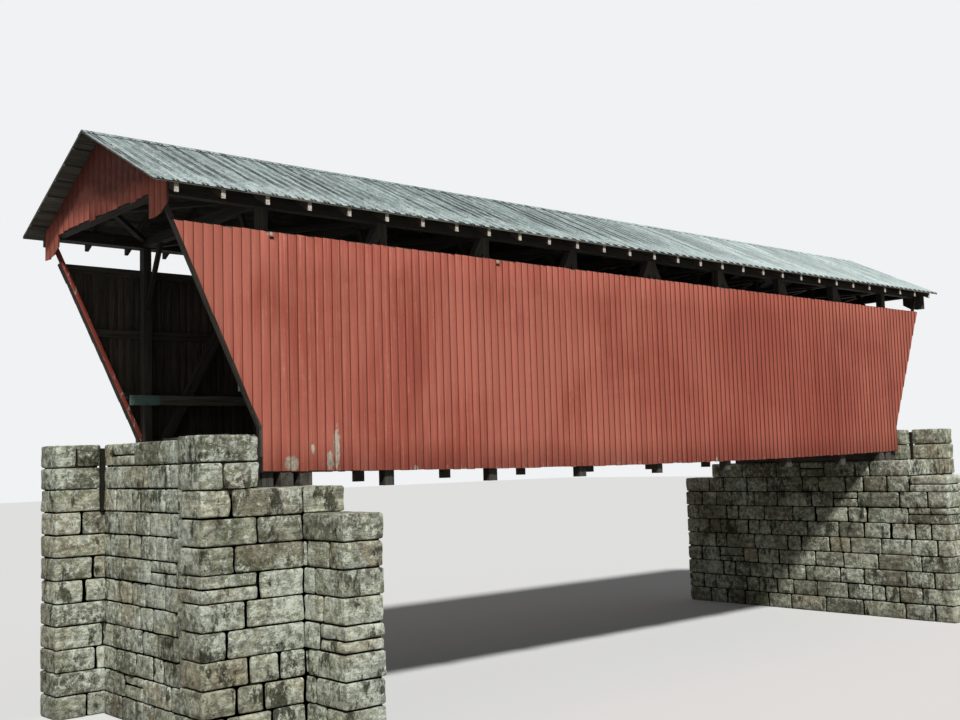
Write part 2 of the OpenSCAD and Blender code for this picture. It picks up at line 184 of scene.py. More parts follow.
class Graph:
    """Adds nodes to a tree. Each call returns the new node's output as a Value."""

    def __init__(self, tree):
        self.tree = tree

    def node(self, kind, inputs=None, out=0, **settings):
        made = self.tree.nodes.new(kind)
        for key, value in settings.items():
            setattr(made, key, value)
        for key, value in (inputs or {}).items():
            if isinstance(value, Value):
                self.tree.links.new(value.socket, made.inputs[key])
            else:
                made.inputs[key].default_value = value
        return Value(self, made.outputs[out]) if len(made.outputs) else made

    def math(self, operation, *values):
        return self.node("ShaderNodeMath", dict(enumerate(values)), operation=operation)

    def vector(self, operation, a, b=(0.0, 0.0, 0.0)):
        out = 1 if operation == "LENGTH" else 0
        return self.node("ShaderNodeVectorMath", {0: a, 1: b}, out=out, operation=operation)

    def scaled(self, vector, factor):
        return self.node("ShaderNodeVectorMath", {0: vector, "Scale": factor}, operation="SCALE")

    def combine(self, x, y, z):
        return self.node("ShaderNodeCombineXYZ", {0: x, 1: y, 2: z})

    def split(self, vector):
        first = self.node("ShaderNodeSeparateXYZ", {0: vector})
        return [Value(self, s) for s in first.socket.node.outputs]

    def noise(self, vector, scale=1.0, detail=3.0, roughness=0.5, distortion=0.0):
        return self.node("ShaderNodeTexNoise", {"Vector": vector, "Scale": scale, "Detail": detail,
                                                "Roughness": roughness, "Distortion": distortion})

    def hashed(self, vector):
        return self.node("ShaderNodeTexWhiteNoise", {0: vector}, noise_dimensions="3D")

    def span(self, value, low, high, to_low=0.0, to_high=1.0):
        """The value's place between low and high, as a smooth step from to_low to to_high."""
        return self.node("ShaderNodeMapRange", {0: value, 1: low, 2: high, 3: to_low, 4: to_high},
                         interpolation_type="SMOOTHSTEP")

    def either(self, test, if_not, if_so):
        """if_so where test is 1, and if_not where it is 0."""
        return self.node("ShaderNodeMix", {0: test, 2: if_not, 3: if_so}, data_type="FLOAT")


print("Graph has", len([word for word in vars(Graph) if word[0] != "_"]), "ways to add a node")

# %% [markdown]
# ## Shading helpers
#
# A paint or stone colour is a blend of a few colours, each let through by a mask. blend mixes two colours,
# shade makes one lighter or darker, and close ties colour, roughness and relief to the shader of a new
# material.

# %% Material helpers
class Shading(Graph):
    """The node tree of a material, with the place on the object as x, y and z in metres."""

    def __init__(self, name):
        self.material = bpy.data.materials.new(name)
        self.material.use_nodes = True
        super().__init__(self.material.node_tree)
        self.tree.nodes.clear()
        self.place = self.node("ShaderNodeTexCoord", out="Object")
        self.x, self.y, self.z = self.split(self.place)

    def attribute(self, name, out="Fac"):
        return self.node("ShaderNodeAttribute", out=out, attribute_name=name)

    def blend(self, mask, a, b, mode="MIX"):
        colours = {key: (*c, 1.0) if isinstance(c, tuple) and len(c) == 3 else c for key, c in ((6, a), (7, b))}
        return self.node("ShaderNodeMix", {0: mask, **colours}, out=2, data_type="RGBA", blend_type=mode,
                         clamp_factor=True)

    def shade(self, colour, amount):
        """The colour times amount."""
        return self.scaled(colour, amount)

    def close(self, colour, roughness, height=None, relief=0.01, strength=1.0, metallic=0.0, specular=0.3):
        inputs = {"Base Color": colour, "Roughness": roughness, "Metallic": metallic,
                  "Specular IOR Level": specular}
        if height is not None:
            inputs["Normal"] = self.node("ShaderNodeBump", {"Height": height, "Distance": relief,
                                                            "Strength": strength})
        surface = self.node("ShaderNodeBsdfPrincipled", inputs)
        self.node("ShaderNodeOutputMaterial", {"Surface": surface})
        return self.material


print("Shading adds", ", ".join(word for word in vars(Shading) if word[0] != "_"))

# %% [markdown]
# ## Weathered timber
#
# Every timber has fibres along its length, a slower change of tone, long drying cracks and stains. All of
# these are noise, stretched along the grain. What changes from timber to timber is which way the grain
# runs, so each finish is given a rule for the grain: how far along, how far across, and a number that tells
# one timber from the next.

# %% Timber finish
def timber(name, grain, dark, light, stain=0.35, crack=0.6, coat=None):
    """A sawn and weathered timber. grain(s) returns along, across, depth and the timber's own number. coat(s, wood)
    may lay something more over the wood, such as paint."""
    s = Shading(name)
    along, across, depth, which = grain(s)
    tone = s.hashed(s.combine(which, 3.0, 1.0))
    along = along + tone * 13.0
    fibres = s.noise(s.combine(along * 1.6, across * 55.0, depth * 55.0), detail=4.0, roughness=0.62)
    bands = s.noise(s.combine(along * 0.5, across * 9.0, depth * 9.0), detail=3.0, distortion=0.6)
    stains = s.noise(s.place, scale=1.1, detail=4.0, roughness=0.6)
    cracks = s.noise(s.combine(along * 0.7, across * 24.0, depth * 24.0), detail=2.0, distortion=0.3)
    crack_mask = s.span(cracks, 0.62, 0.72)
    wood = s.blend(s.span(fibres * 0.55 + bands * 0.45, 0.32, 0.68), dark, light)
    wood = s.shade(wood, 0.78 + tone * 0.44)
    wood = s.blend(s.span(stains, 0.5, 0.78) * stain, wood, tuple(c * 0.35 for c in dark))
    wood = s.blend(crack_mask * crack, wood, (0.012, 0.01, 0.009))
    if coat:
        wood = coat(s, wood)
    height = fibres * 0.5 + bands * 0.5 - crack_mask * 1.2
    return s.close(wood, s.span(fibres, 0.2, 0.8, 0.72, 0.95), height, relief=0.006, strength=0.8, specular=0.2)


def numbered(s, value, step):
    """A whole number that goes up by one with each step of value."""
    return s.math("FLOOR", value / step + 0.5)


def along_x(s):
    return s.x, s.y, s.z, numbered(s, s.y, 0.15) + numbered(s, s.z, 0.15) * 7.0 + s.math("FLOOR", s.x / 5.3) * 17.0


def along_y(s):
    return s.y, s.x, s.z, numbered(s, s.x, 0.31)


def along_z(s):
    return s.z, s.x, s.y, numbered(s, s.x, PANEL) + numbered(s, s.y, 3.0) * 11.0


def slanting(s, level, angle):
    """Along and across a grain that climbs at an angle in the plane of level (a distance) and Z."""
    cos, sin = math.cos(angle), math.sin(angle)
    return level * cos + s.z * sin, s.z * cos - level * sin


def brace_grain(s):
    along, across = slanting(s, s.math("ABSOLUTE", s.x), math.pi - math.atan2(BRACE_RISE, PANEL - POST_WIDTH))
    return along, across, s.y, numbered(s, s.x + PANEL / 2, PANEL) + numbered(s, s.y, 3.0) * 11.0


def strut_grain(s):
    along, across = slanting(s, s.math("ABSOLUTE", s.x), math.atan2(1.0, LEAN))
    return along, across, s.y, numbered(s, s.x, 9.0) + numbered(s, s.y, 3.0) * 11.0


def knee_grain(s):
    along, across = slanting(s, s.math("ABSOLUTE", s.y), math.pi - math.atan2(KNEE_RISE, KNEE_RUN))
    return along, across, s.x, numbered(s, s.x, 1.0) + numbered(s, s.y, 1.5) * 11.0


def rafter_grain(s):
    along, across = slanting(s, s.math("ABSOLUTE", s.y), -ROOF_PITCH)
    return along, across, s.x, numbered(s, s.x, 0.4) + numbered(s, s.y, 5.0) * 11.0


def lateral_grain(s):
    """Level braces: crossed pairs in the panels, and a V at each portal, past the last tie beam."""
    low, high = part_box("upper_lateral_braces")
    way = (s.z > (low[2] + high[2]) / 2) * 2.0 - 1.0
    past = s.math("ABSOLUTE", s.x) > HALF_SPAN + POST_WIDTH / 2
    way = s.either(past, way, s.math("SIGN", s.x * s.y) * -1.0)
    angle = math.atan2(2 * TRUSS_IN, PANEL - POST_WIDTH)
    cos = s.either(past, math.cos(angle), math.cos(PORTAL_ANGLE))
    sin = s.either(past, math.sin(angle), math.sin(PORTAL_ANGLE))
    return (s.x * way * cos + s.y * sin, s.y * cos - s.x * way * sin, s.z,
            numbered(s, s.x + PANEL / 2, PANEL) + way * 5.0)


def frame_grain(s):
    """Upright grain, but level in the nailers, which follow the walls' leaning ends."""
    edge = s.math("MAXIMUM", END_X, (s.z - BEND_Z) * LEAN + END_X)
    out = s.math("ABSOLUTE", s.x)
    nailer = out > edge - 0.1125
    return (s.either(nailer, s.x, s.z), s.either(nailer, s.z, s.x), s.y,
            numbered(s, s.z, 1.2) * 3.0 + nailer * 5.0 + s.math("FLOOR", s.x / 5.1))


print("braces climb at", round(math.degrees(math.atan2(BRACE_RISE, PANEL - POST_WIDTH)), 1), "degrees")

# %% [markdown]
# ## Finishes of the timbers
#
# Inside, the bridge is coloured dark brown-grey, nearly black up under the roof: partly the timbers' own
# weathered colour and partly painted shade. The deck is worn pale by feet and wheels. The rafters are dark
# too, but their sawn ends under the eave are painted pale, partly end grain and partly painted sunlight, and
# show as a row of light squares. The slender struts behind the leaning ends of the walls still carry red
# paint on the side towards the roadway.

# %% Paint the CAD timbers
# These wood colours are kept low partly as painted shade of the bridge's inside.
DARK_WOOD, LIGHT_WOOD = (0.018, 0.016, 0.013), (0.062, 0.055, 0.046)
TRUSS_DARK, TRUSS_LIGHT = (0.035, 0.032, 0.028), (0.13, 0.12, 0.104)
RAFTER_END = reach("far_rafters", 1)[1] - 0.001   # the sawn face lies just past this
STRUT_INSIDE = TRUSS_OUT - 0.059                  # the struts' inner face lies just short of this


def end_grain_and_painted_sun(s, wood):
    """Pale end grain where a rafter is sawn off under the eave, made paler still as painted sunlight."""
    rough = s.noise(s.place, scale=45.0, detail=3.0)
    pale = s.blend(s.span(rough, 0.4, 0.62), (0.7, 0.66, 0.58), (0.42, 0.36, 0.28))
    return s.blend(s.math("ABSOLUTE", s.y) > RAFTER_END, wood, pale)


def strut_paint(s, wood):
    """Old red paint on the side towards the roadway, worn through in patches."""
    inner = s.math("ABSOLUTE", s.y) < STRUT_INSIDE
    worn = s.noise(s.vector("MULTIPLY", s.place, (9.0, 9.0, 4.0)), detail=4.0, roughness=0.7)
    red = s.blend(s.span(worn, 0.56, 0.64), (0.42, 0.085, 0.06), (0.6, 0.5, 0.42))
    return s.blend(inner, wood, red)


finishes = {
    timber("chord_timber", along_x, DARK_WOOD, LIGHT_WOOD):
        ["near_bottom_chord", "far_bottom_chord", "near_top_chord", "far_top_chord"],
    timber("post_timber", along_z, TRUSS_DARK, TRUSS_LIGHT): ["near_truss_posts", "far_truss_posts"],
    timber("brace_timber", brace_grain, TRUSS_DARK, TRUSS_LIGHT): ["near_truss_braces", "far_truss_braces"],
    timber("strut_timber", strut_grain, TRUSS_DARK, TRUSS_LIGHT, coat=strut_paint):
        ["near_portal_struts", "far_portal_struts"],
    timber("beam_timber", along_y, DARK_WOOD, LIGHT_WOOD):
        ["floor_beams", "tie_beams", "left_portal_header", "right_portal_header"],
    timber("bed_timber", along_y, (0.035, 0.032, 0.027), (0.13, 0.118, 0.1), stain=0.6):
        ["left_bed_timbers", "right_bed_timbers"],
    timber("stringer_timber", along_x, DARK_WOOD, LIGHT_WOOD, stain=0.5): ["floor_stringers"],
    timber("knee_timber", knee_grain, DARK_WOOD, LIGHT_WOOD): ["near_knee_braces", "far_knee_braces"],
    timber("lateral_timber", lateral_grain, DARK_WOOD, LIGHT_WOOD): ["upper_lateral_braces"],
    timber("rafter_timber", rafter_grain, (0.035, 0.03, 0.024), (0.12, 0.105, 0.085), coat=end_grain_and_painted_sun):
        ["near_rafters", "far_rafters"],
    timber("roof_board_timber", along_x, (0.06, 0.06, 0.052), (0.2, 0.2, 0.175), stain=0.5):
        ["near_roof_boards", "far_roof_boards"],
    timber("girt_timber", frame_grain, (0.045, 0.04, 0.034), (0.15, 0.135, 0.113)):
        ["near_siding_frame", "far_siding_frame"],
}


def paint(node, material):
    """Gives a CAD node its finish."""
    mesh = nodes[node].data
    mesh.materials.clear()
    mesh.materials.append(material)


for material, names in finishes.items():
    for name in names:
        paint(name, material)
print(sum(len(names) for names in finishes.values()), "CAD nodes painted as timber")

# %% [markdown]
# The guard rails are planks rubbed smooth by hands and wheels. Their ends at the portals carry a coat of
# faded teal, which fades into bare wood further in.

# %% Paint the guard rails
TEAL_FROM, TEAL_FULL = 9.8, 9.88    # distance from the middle where the teal starts, and where it is full


def rail_finish():
    s = Shading("rail_timber")
    out = s.math("ABSOLUTE", s.x)
    fibres = s.noise(s.combine(s.x * 1.8, s.y * 60.0, s.z * 60.0), detail=4.0, roughness=0.6)
    patches = s.noise(s.place, scale=5.0, detail=4.0, roughness=0.65)
    wood = s.blend(s.span(fibres, 0.3, 0.7), (0.11, 0.096, 0.08), (0.33, 0.3, 0.25))
    coat = s.span(out + patches * 0.24, TEAL_FROM, TEAL_FULL) * s.span(patches, 0.34, 0.44)
    wood = s.blend(coat, wood, s.shade(s.blend(patches, (0.13, 0.27, 0.25), (0.3, 0.47, 0.43)), 0.7 + fibres * 0.6))
    return s.close(wood, s.span(coat, 0.0, 1.0, 0.72, 0.5), fibres - coat * 0.3, relief=0.004, specular=0.25)


rail = rail_finish()
for name in ("near_guard_rail", "far_guard_rail"):
    paint(name, rail)
print("guard rails painted")

# %% [markdown]
# ## Geometry nodes: boards from points
#
# Walls, gables, deck and runners are all rows of boards, so one tree makes them all. Python lays out one
# point for each board and writes the board's edges on it as attributes. The tree puts a blank board, one
# unit wide, deep and long, on every point, and moves its corners to those edges, so a board can be cut
# square or on the slant. tuck is how much deeper a board's right edge lies than its left one, where it goes
# under its neighbour. Two more attributes stay on the result for the paint: board, a random number, and
# blank, the place on the board.

# %% The tree that lays boards
EDGES = ("left", "right", "low_left", "low_right", "high_left", "high_right", "front", "tuck", "thick", "board")


def geometry_tree(name, inputs):
    """A geometry nodes tree with named inputs. Returns its Graph and its inputs as Values."""
    tree = bpy.data.node_groups.new(name, "GeometryNodeTree")
    tree.interface.new_socket("Geometry", in_out="INPUT", socket_type="NodeSocketGeometry")
    for label, kind, value in inputs:
        socket = tree.interface.new_socket(label, in_out="INPUT", socket_type="NodeSocket" + kind)
        if value is not None:
            socket.default_value = value
    tree.interface.new_socket("Geometry", in_out="OUTPUT", socket_type="NodeSocketGeometry")
    g = Graph(tree)
    entry = tree.nodes.new("NodeGroupInput")
    return g, {s.name: Value(g, s) for s in entry.outputs if s.name}


def named(g, name):
    """A number stored on the points or faces."""
    return g.node("GeometryNodeInputNamedAttribute", {"Name": name}, data_type="FLOAT")


def stored(g, geometry, name, value, kind="FLOAT_VECTOR", domain="POINT"):
    """The geometry with a value stored on it under a name."""
    return g.node("GeometryNodeStoreNamedAttribute", {"Geometry": geometry, "Name": name, "Value": value},
                  data_type=kind, domain=domain)


def moved_to(g, geometry, given, steps):
    """The geometry with its points at Origin, plus each amount along the input of that name."""
    where = given["Origin"]
    for direction, amount in steps:
        where = g.vector("ADD", where, g.scaled(given[direction], amount))
    return g.node("GeometryNodeSetPosition", {"Geometry": geometry, "Position": where})


def end_tree(g, geometry, material):
    """The last three nodes of each tree: real meshes, one material, out."""
    solid = g.node("GeometryNodeRealizeInstances", {"Geometry": geometry})
    done = g.node("GeometryNodeSetMaterial", {"Geometry": solid, "Material": material})
    leave = g.tree.nodes.new("NodeGroupOutput")
    g.tree.links.new(done.socket, leave.inputs[0])
    return g.tree


def boards_tree():
    g, given = geometry_tree("boards_from_points", [
        ("Blank", "Object", None), ("Across", "Vector", (1.0, 0.0, 0.0)), ("Inward", "Vector", (0.0, 1.0, 0.0)),
        ("Along", "Vector", (0.0, 0.0, 1.0)), ("Origin", "Vector", (0.0, 0.0, 0.0)), ("Warp", "Float", 0.002),
        ("Material", "Material", None)])
    blank = g.node("GeometryNodeObjectInfo", {"Object": given["Blank"]}, out="Geometry")
    placed = g.node("GeometryNodeInstanceOnPoints", {"Points": given["Geometry"], "Instance": blank})
    solid = g.node("GeometryNodeRealizeInstances", {"Geometry": placed})
    spot = g.node("GeometryNodeInputPosition")
    solid = stored(g, solid, "blank", spot)
    a, d, t = g.split(spot)
    at = {name: named(g, name) for name in EDGES}
    low = at["low_left"] + (at["low_right"] - at["low_left"]) * a
    high = at["high_left"] + (at["high_right"] - at["high_left"]) * a
    along = low + (high - low) * t
    wave = g.noise(g.combine(along * 0.45, at["board"] * 97.0, 0.0), detail=1.0) - 0.5
    sway = g.noise(g.combine(along * 0.35, at["board"] * 61.0, 9.0), detail=1.0) - 0.5
    across = at["left"] + (at["right"] - at["left"]) * a + sway * given["Warp"]
    depth = at["front"] + at["tuck"] * a + at["thick"] * d + g.math("ABSOLUTE", wave) * given["Warp"]
    moved = moved_to(g, solid, given, (("Across", across), ("Inward", depth), ("Along", along)))
    return end_tree(g, moved, given["Material"])


BOARDS = boards_tree()
print("tree", BOARDS.name, "has", len(BOARDS.nodes), "nodes")

# %% [markdown]
# The blank is a box with small chamfers and a few rings along its length, so that a board can warp.
# run_tree puts a tree on a mesh, sets the inputs by each socket's identifier, and keeps the result as a
# plain mesh.

# %% Blank board, and running a tree
SHARP = math.radians(35)    # edges sharper than this stay crisp


def mesh_object(name, points, faces=()):
    """An object with a new mesh."""
    mesh = bpy.data.meshes.new(name)
    mesh.from_pydata(points, [], faces)
    return bpy.data.objects.new(name, mesh)


def box_rings(chamfer, rings):
    """A unit board with chamfered edges: an eight-sided section along Z, with a smaller section at each end.
    chamfer is given across, through and along the board, as shares of its size."""
    ca, cd, cl = chamfer
    section = np.array([(ca, 0), (1 - ca, 0), (1, cd), (1, 1 - cd), (1 - ca, 1), (ca, 1), (0, 1 - cd), (0, cd)])
    end = (section - 0.5) * (1 - 2 * ca, 1 - 2 * cd) + 0.5
    levels = [0.0, cl, *np.linspace(0, 1, rings + 2)[1:-1], 1 - cl, 1.0]
    points = []
    for level in levels:
        outline = end if level in (0.0, 1.0) else section
        points += [(u, v, level) for u, v in outline]
    faces = [tuple(range(7, -1, -1)), tuple(range(8 * (len(levels) - 1), 8 * len(levels)))]
    for r in range(len(levels) - 1):
        for i in range(8):
            j = (i + 1) % 8
            faces.append((8 * r + i, 8 * r + j, 8 * (r + 1) + j, 8 * (r + 1) + i))
    return mesh_object("blank", points, faces)


def run_tree(obj, tree, inputs, finish=()):
    """Puts the tree on obj, evaluates it with any finishing modifiers, and keeps the result as a plain mesh."""
    modifier = obj.modifiers.new(tree.name, "NODES")
    modifier.node_group = tree
    sockets = {s.name: s.identifier for s in tree.interface.items_tree if s.in_out == "INPUT"}
    for label, value in inputs.items():
        modifier[sockets[label]] = value
    for kind, settings in finish:
        extra = obj.modifiers.new(kind, kind)
        for key, value in settings.items():
            setattr(extra, key, value)
    link(obj)
    bpy.context.view_layer.update()
    result = bpy.data.meshes.new_from_object(obj.evaluated_get(bpy.context.evaluated_depsgraph_get()))
    obj.modifiers.clear()
    obj.data = result
    for spare in [a.name for a in result.attributes if a.name in EDGES and a.name != "board"]:
        result.attributes.remove(result.attributes[spare])
    result.set_sharp_from_angle(angle=SHARP)
    return obj


def lay_boards(name, rows, material, replaces, axes, origin=(0, 0, 0), warp=0.003,
               chamfer=(0.014, 0.1, 0.0006), rings=4):
    """One piece made of boards. rows holds one dict of edges for each board."""
    points = mesh_object(name, [(0, 0, 0)] * len(rows))
    for key in EDGES:
        values = points.data.attributes.new(key, "FLOAT", "POINT")
        values.data.foreach_set("value", [row[key] for row in rows])
    blank = link(box_rings(chamfer, rings))
    piece = run_tree(points, BOARDS, {
        "Blank": blank, "Across": axes[0], "Inward": axes[1], "Along": axes[2], "Origin": origin, "Warp": warp,
        "Material": material})
    bpy.data.objects.remove(blank)
    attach(piece, "root")
    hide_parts(*replaces)
    print(name, len(rows), "boards,", len(piece.data.polygons), "faces")


# %% [markdown]
# ## Red boards
#
# The paint is an old coat of barn red on rough boards. In the sun it is a chalky salmon red, nearly the
# same from board to board, and a few bald patches near the foot show bleached wood. The attribute blank
# tells the paint how far across, deep and along a board it is, so the inner face stays bare, and the
# board's left edge and the corner under its neighbour are darkened, partly dirt and partly painted shade
# in the lap. Towards the right end that darkening spreads wider. High up on the gables, under the roof,
# the paint is darkened to near black as painted shade.

# %% Red paint
PAINT_DEEP, PAINT_MID, PAINT_CHALK = (0.36, 0.085, 0.056), (0.5, 0.152, 0.104), (0.6, 0.25, 0.185)
BARE_DARK, BARE_LIGHT = (0.3, 0.25, 0.19), (0.72, 0.65, 0.53)
# Pale patches on the near wall: middle along X, middle height, half width, half height
PALE_PATCHES = [(-9.5, 4.58, 0.15, 0.15), (-8.6, 4.8, 0.075, 0.38), (-9.08, 4.82, 0.045, 0.1), (-8.74, 4.6, 0.08, 0.18),
        (-9.86, 8.405, 0.06, 0.03), (-4.75, 8.41, 0.055, 0.025), (-6.9, 4.42, 0.05, 0.08), (1.9, 4.4, 0.05, 0.06)]
EDGE_DIRT_AND_SHADE, CORNER_DIRT_AND_SHADE = 0.045, 0.955 - 0.02 / 0.17    # places across a board where the edge darkening starts: dirt, and painted shade in the lap


def red_boards(name, worn=(), weather=1.0, grime=0.0):
    """Worn red paint. worn lists pale patches, weather says how far it flakes, and grime is the least darkening of
    the edges, dirt and painted shade.
    """
    s = Shading(name)
    board = s.attribute("board")
    edge, depth, _ = s.split(s.attribute("blank", "Vector"))
    shift = s.vector("ADD", s.place, s.combine(board * 31.0, board * 17.0, board * 7.0))
    streaks = s.noise(s.vector("MULTIPLY", shift, (26.0, 26.0, 0.7)), detail=5.0, roughness=0.62)
    fibres = s.noise(s.vector("MULTIPLY", shift, (90.0, 90.0, 2.2)), detail=3.0)
    fade = s.noise(s.place, scale=0.4, detail=4.0, distortion=0.5)
    fine = s.noise(shift, scale=9.0, detail=5.0, roughness=0.7)
    red = s.blend(s.span(fade * 0.65 + streaks * 0.35, 0.36, 0.6), PAINT_DEEP, PAINT_MID)
    red = s.blend(s.span(streaks * 0.6 + fine * 0.4, 0.5, 0.72) * 0.6, red, PAINT_CHALK)
    red = s.shade(red, 0.93 + board * 0.14)
    # Deeper red between x 0 and 8.5: partly the paint's own tone and partly painted shade.
    red = s.blend(s.span(s.x + fade * 3.0, 0.0, 5.0) * s.span(s.x, 8.5, 5.0) * 0.3, red, PAINT_DEEP)
    # High on the gables the paint is darkened to near black: painted shade under the roof.
    red = s.blend(s.span(s.z + fine * 0.2, SIDING_TOP + 0.6, SIDING_TOP + 1.0) * 0.85, red, (0.06, 0.014, 0.01))
    bare = s.blend(s.span(fibres * 0.5 + fine * 0.5, 0.36, 0.62), BARE_DARK, BARE_LIGHT)
    flaked = s.span(fine * 0.55 + streaks * 0.45, 0.68 - 0.02 * weather, 0.72) * weather * 0.8
    foot = s.span(s.z + streaks * 0.4, SIDING_FOOT + 0.3, SIDING_FOOT + 0.05)
    flaked = s.math("MAXIMUM", flaked, foot * s.span(fine * 0.5 + streaks * 0.5, 0.53, 0.62) * 0.7)
    ragged = s.noise(s.vector("MULTIPLY", s.place, (14.0, 14.0, 7.0)), detail=4.0, roughness=0.7)
    for x, z, half_width, half_height in worn:
        away = s.vector("LENGTH", s.combine((s.x - x) / half_width, 0.0, (s.z - z) / half_height))
        flaked = s.math("MAXIMUM", flaked, s.span(away + ragged * 1.8 + fine, 2.35, 2.1))
    # The left edge and the corner under the neighbour are darkened, wider towards the right end: partly dirt and
    # partly painted shade in the lap.
    dirt_and_lap_shade = s.math("MAXIMUM", s.span(s.x, -4.0, 8.0), grime)
    outside = s.blend(flaked, red, bare)
    corner = s.span(edge, dirt_and_lap_shade * -0.1 + CORNER_DIRT_AND_SHADE, 0.9)
    rim = s.math("MAXIMUM", s.span(edge, dirt_and_lap_shade * 0.11 + EDGE_DIRT_AND_SHADE, 0.012), corner)
    outside = s.blend(rim * (dirt_and_lap_shade * 0.1 + 0.74), outside, (0.13, 0.012, 0.004))
    inner = s.span(depth, 0.45, 0.55)
    # Bare inner faces, kept dark partly as painted shade of the bridge's inside.
    inside = s.blend(s.span(fibres * 0.5 + streaks * 0.5, 0.35, 0.65), (0.04, 0.036, 0.03), (0.15, 0.135, 0.11))
    colour = s.blend(inner, outside, s.shade(inside, 0.75 + board * 0.5))
    height = streaks * 0.6 + fibres * 0.35 - flaked * 0.35
    return s.close(colour, s.span(fine, 0.3, 0.7, 0.7, 0.9), height, relief=0.005, strength=0.7, specular=0.25)


near_red = red_boards("near_wall_paint", PALE_PATCHES)
far_red = red_boards("far_wall_paint", [(-0.9 * x, *rest) for x, *rest in PALE_PATCHES[:4]], weather=1.1)
gable_red = red_boards("gable_paint", weather=0.8, grime=0.9)
print("red paints made")

# %% [markdown]
# ## The long walls
#
# Vertical boards about 0.17 m wide, nailed to girts. Lines across the wall in the photo step up at each
# joint, which says that the boards lap: the left edge of each lies over its neighbour. So each board is
# tucked under on its right. The lower edge follows the bridge's sag as a long bow. Past the foot of the
# wall the boards lean out with the portal, so each one there starts higher and has a slanting foot. The
# heads are sawn by eye and step down one by one. Two boards have a hole near the head, so those are laid as
# four pieces round it.

# %% Edges of the wall boards
BOARD_COUNT, LEAN_COUNT = 119, 9    # boards in the upright part of a wall, and in each leaning end
BOARD_LAP = 0.018         # how far a board goes under its neighbour
BOARD_TUCK = 0.0165       # how deep its tucked edge lies
BOARD_THICK = 0.0155
JOINT_DRIFT = 0.005       # how far a joint strays from its even place
TAPER = 0.047             # how much wider than the mean the first board of a wall is, as a share
NOTCHES = (-9.83, -4.75)  # places of the two holes under the heads of the boards
NOTCH_HALF = 0.045
NOTCH_MARGIN = 0.03       # least distance from the middle of a hole to the edge of its board
NOTCH_LOW, NOTCH_HIGH = 0.14, 0.09    # how far under the wall's head a hole starts and ends


def wall_low(u):
    """Lower edge of the wall at a place along it."""
    if abs(u) > END_X + 1e-6:
        return BEND_Z + (abs(u) - END_X) / LEAN
    return SIDING_FOOT - SIDING_BOW * (1 - (u / END_X) ** 2)


def board_edges(rng, start, end, count, jitter, taper=0.0):
    """Places of the joints in a row of boards, with the ends held. With taper the boards narrow along the row."""
    steps = [i / count for i in range(1, count)]
    inner = [start + (end - start) * (v + taper * v * (1 - v)) + rng.uniform(-jitter, jitter) for v in steps]
    return [start, *inner, end]


def notched(row, hole):
    """The board cut in four round a hole, 9 by 5 cm."""
    low, high = SIDING_TOP - NOTCH_LOW, SIDING_TOP - NOTCH_HIGH
    first, last = row["left"], row["right"]
    span = last - first
    parts = []
    for left, right, foot, head in ((first, last, None, low), (first, hole - NOTCH_HALF, low, high),
                                    (hole + NOTCH_HALF, last, low, high), (first, last, high, None)):
        part = dict(row, left=left, right=right)
        for side in ("left", "right"):
            part["low_" + side] = row["low_" + side] if foot is None else foot
            part["high_" + side] = row["high_" + side] if head is None else head
        part["front"] = row["front"] + row["tuck"] * (left - first) / span
        part["tuck"] = row["tuck"] * (right - left) / span
        parts.append(part)
    return [part for part in parts if part["right"] - part["left"] > 0.01]


# %% [markdown]
# Each row of boards is seeded, so the same ones come out in each run. The places of the joints are drawn
# first, and then, board by board, the small steps at the foot and the head. Clamped places keep a board's
# foot on its own part of the wall.

# %% Side walls
def wall_rows(seed, holes=()):
    """The boards of one long wall, seen from outside, with holes at the places given."""
    rng = random.Random(seed)
    upright = board_edges(rng, -END_X, END_X, BOARD_COUNT, JOINT_DRIFT, TAPER)
    left = board_edges(rng, -TOP_X, -END_X, LEAN_COUNT, JOINT_DRIFT)
    right = board_edges(rng, END_X, TOP_X, LEAN_COUNT, JOINT_DRIFT)
    rows = []
    for run in (left, upright, right):
        for a, b in zip(run, run[1:]):
            leaning = abs(a + b) / 2 > END_X
            under = 0.0 if b in (END_X, TOP_X) else BOARD_LAP
            b += under
            sign = 1 if a > 0 else -1
            clamp = [max(abs(v), END_X + 1e-4) * sign if leaning else min(max(v, -END_X), END_X) for v in (a, b)]
            foot = rng.uniform(-0.006, 0.01)
            top = SIDING_TOP - rng.choice([0.0, 0.002, 0.004, 0.006, 0.012, 0.02]) * rng.uniform(0.5, 1.0)
            slant = rng.uniform(0.002, 0.014)
            row = {"left": a, "right": b, "low_left": min(wall_low(clamp[0]) + foot, top - 0.002),
                   "low_right": min(wall_low(clamp[1]) + foot, top - slant - 0.002),
                   "high_left": top, "high_right": top - slant, "front": rng.uniform(-0.003, -0.001),
                   "tuck": BOARD_TUCK * rng.uniform(0.85, 1.0) if under else 0.006, "thick": BOARD_THICK,
                   "board": rng.random()}
            inside = [v for v in holes if a + NOTCH_MARGIN < v < b - NOTCH_MARGIN]
            rows += notched(row, inside[0]) if inside else [row]
    return rows


wall_boards = {"near": wall_rows(11, NOTCHES), "far": wall_rows(23)}
wall_paint = {"near": near_red, "far": far_red}
for side, word in SIDES:
    lay_boards(word + "_siding_boards", wall_boards[word], wall_paint[word], [word + "_siding"],
               ((-side, 0, 0), (0, -side, 0), (0, 0, 1)), origin=(0, side * WALL_OUT, 0), rings=6)

# %% [markdown]
# ## Gables
#
# Each portal has a gable of vertical boards over the roadway, and an ear at each side that hangs lower. The
# lower corner of each ear is cut on the slant, always on the same side. The heads follow the slope of the
# roof.

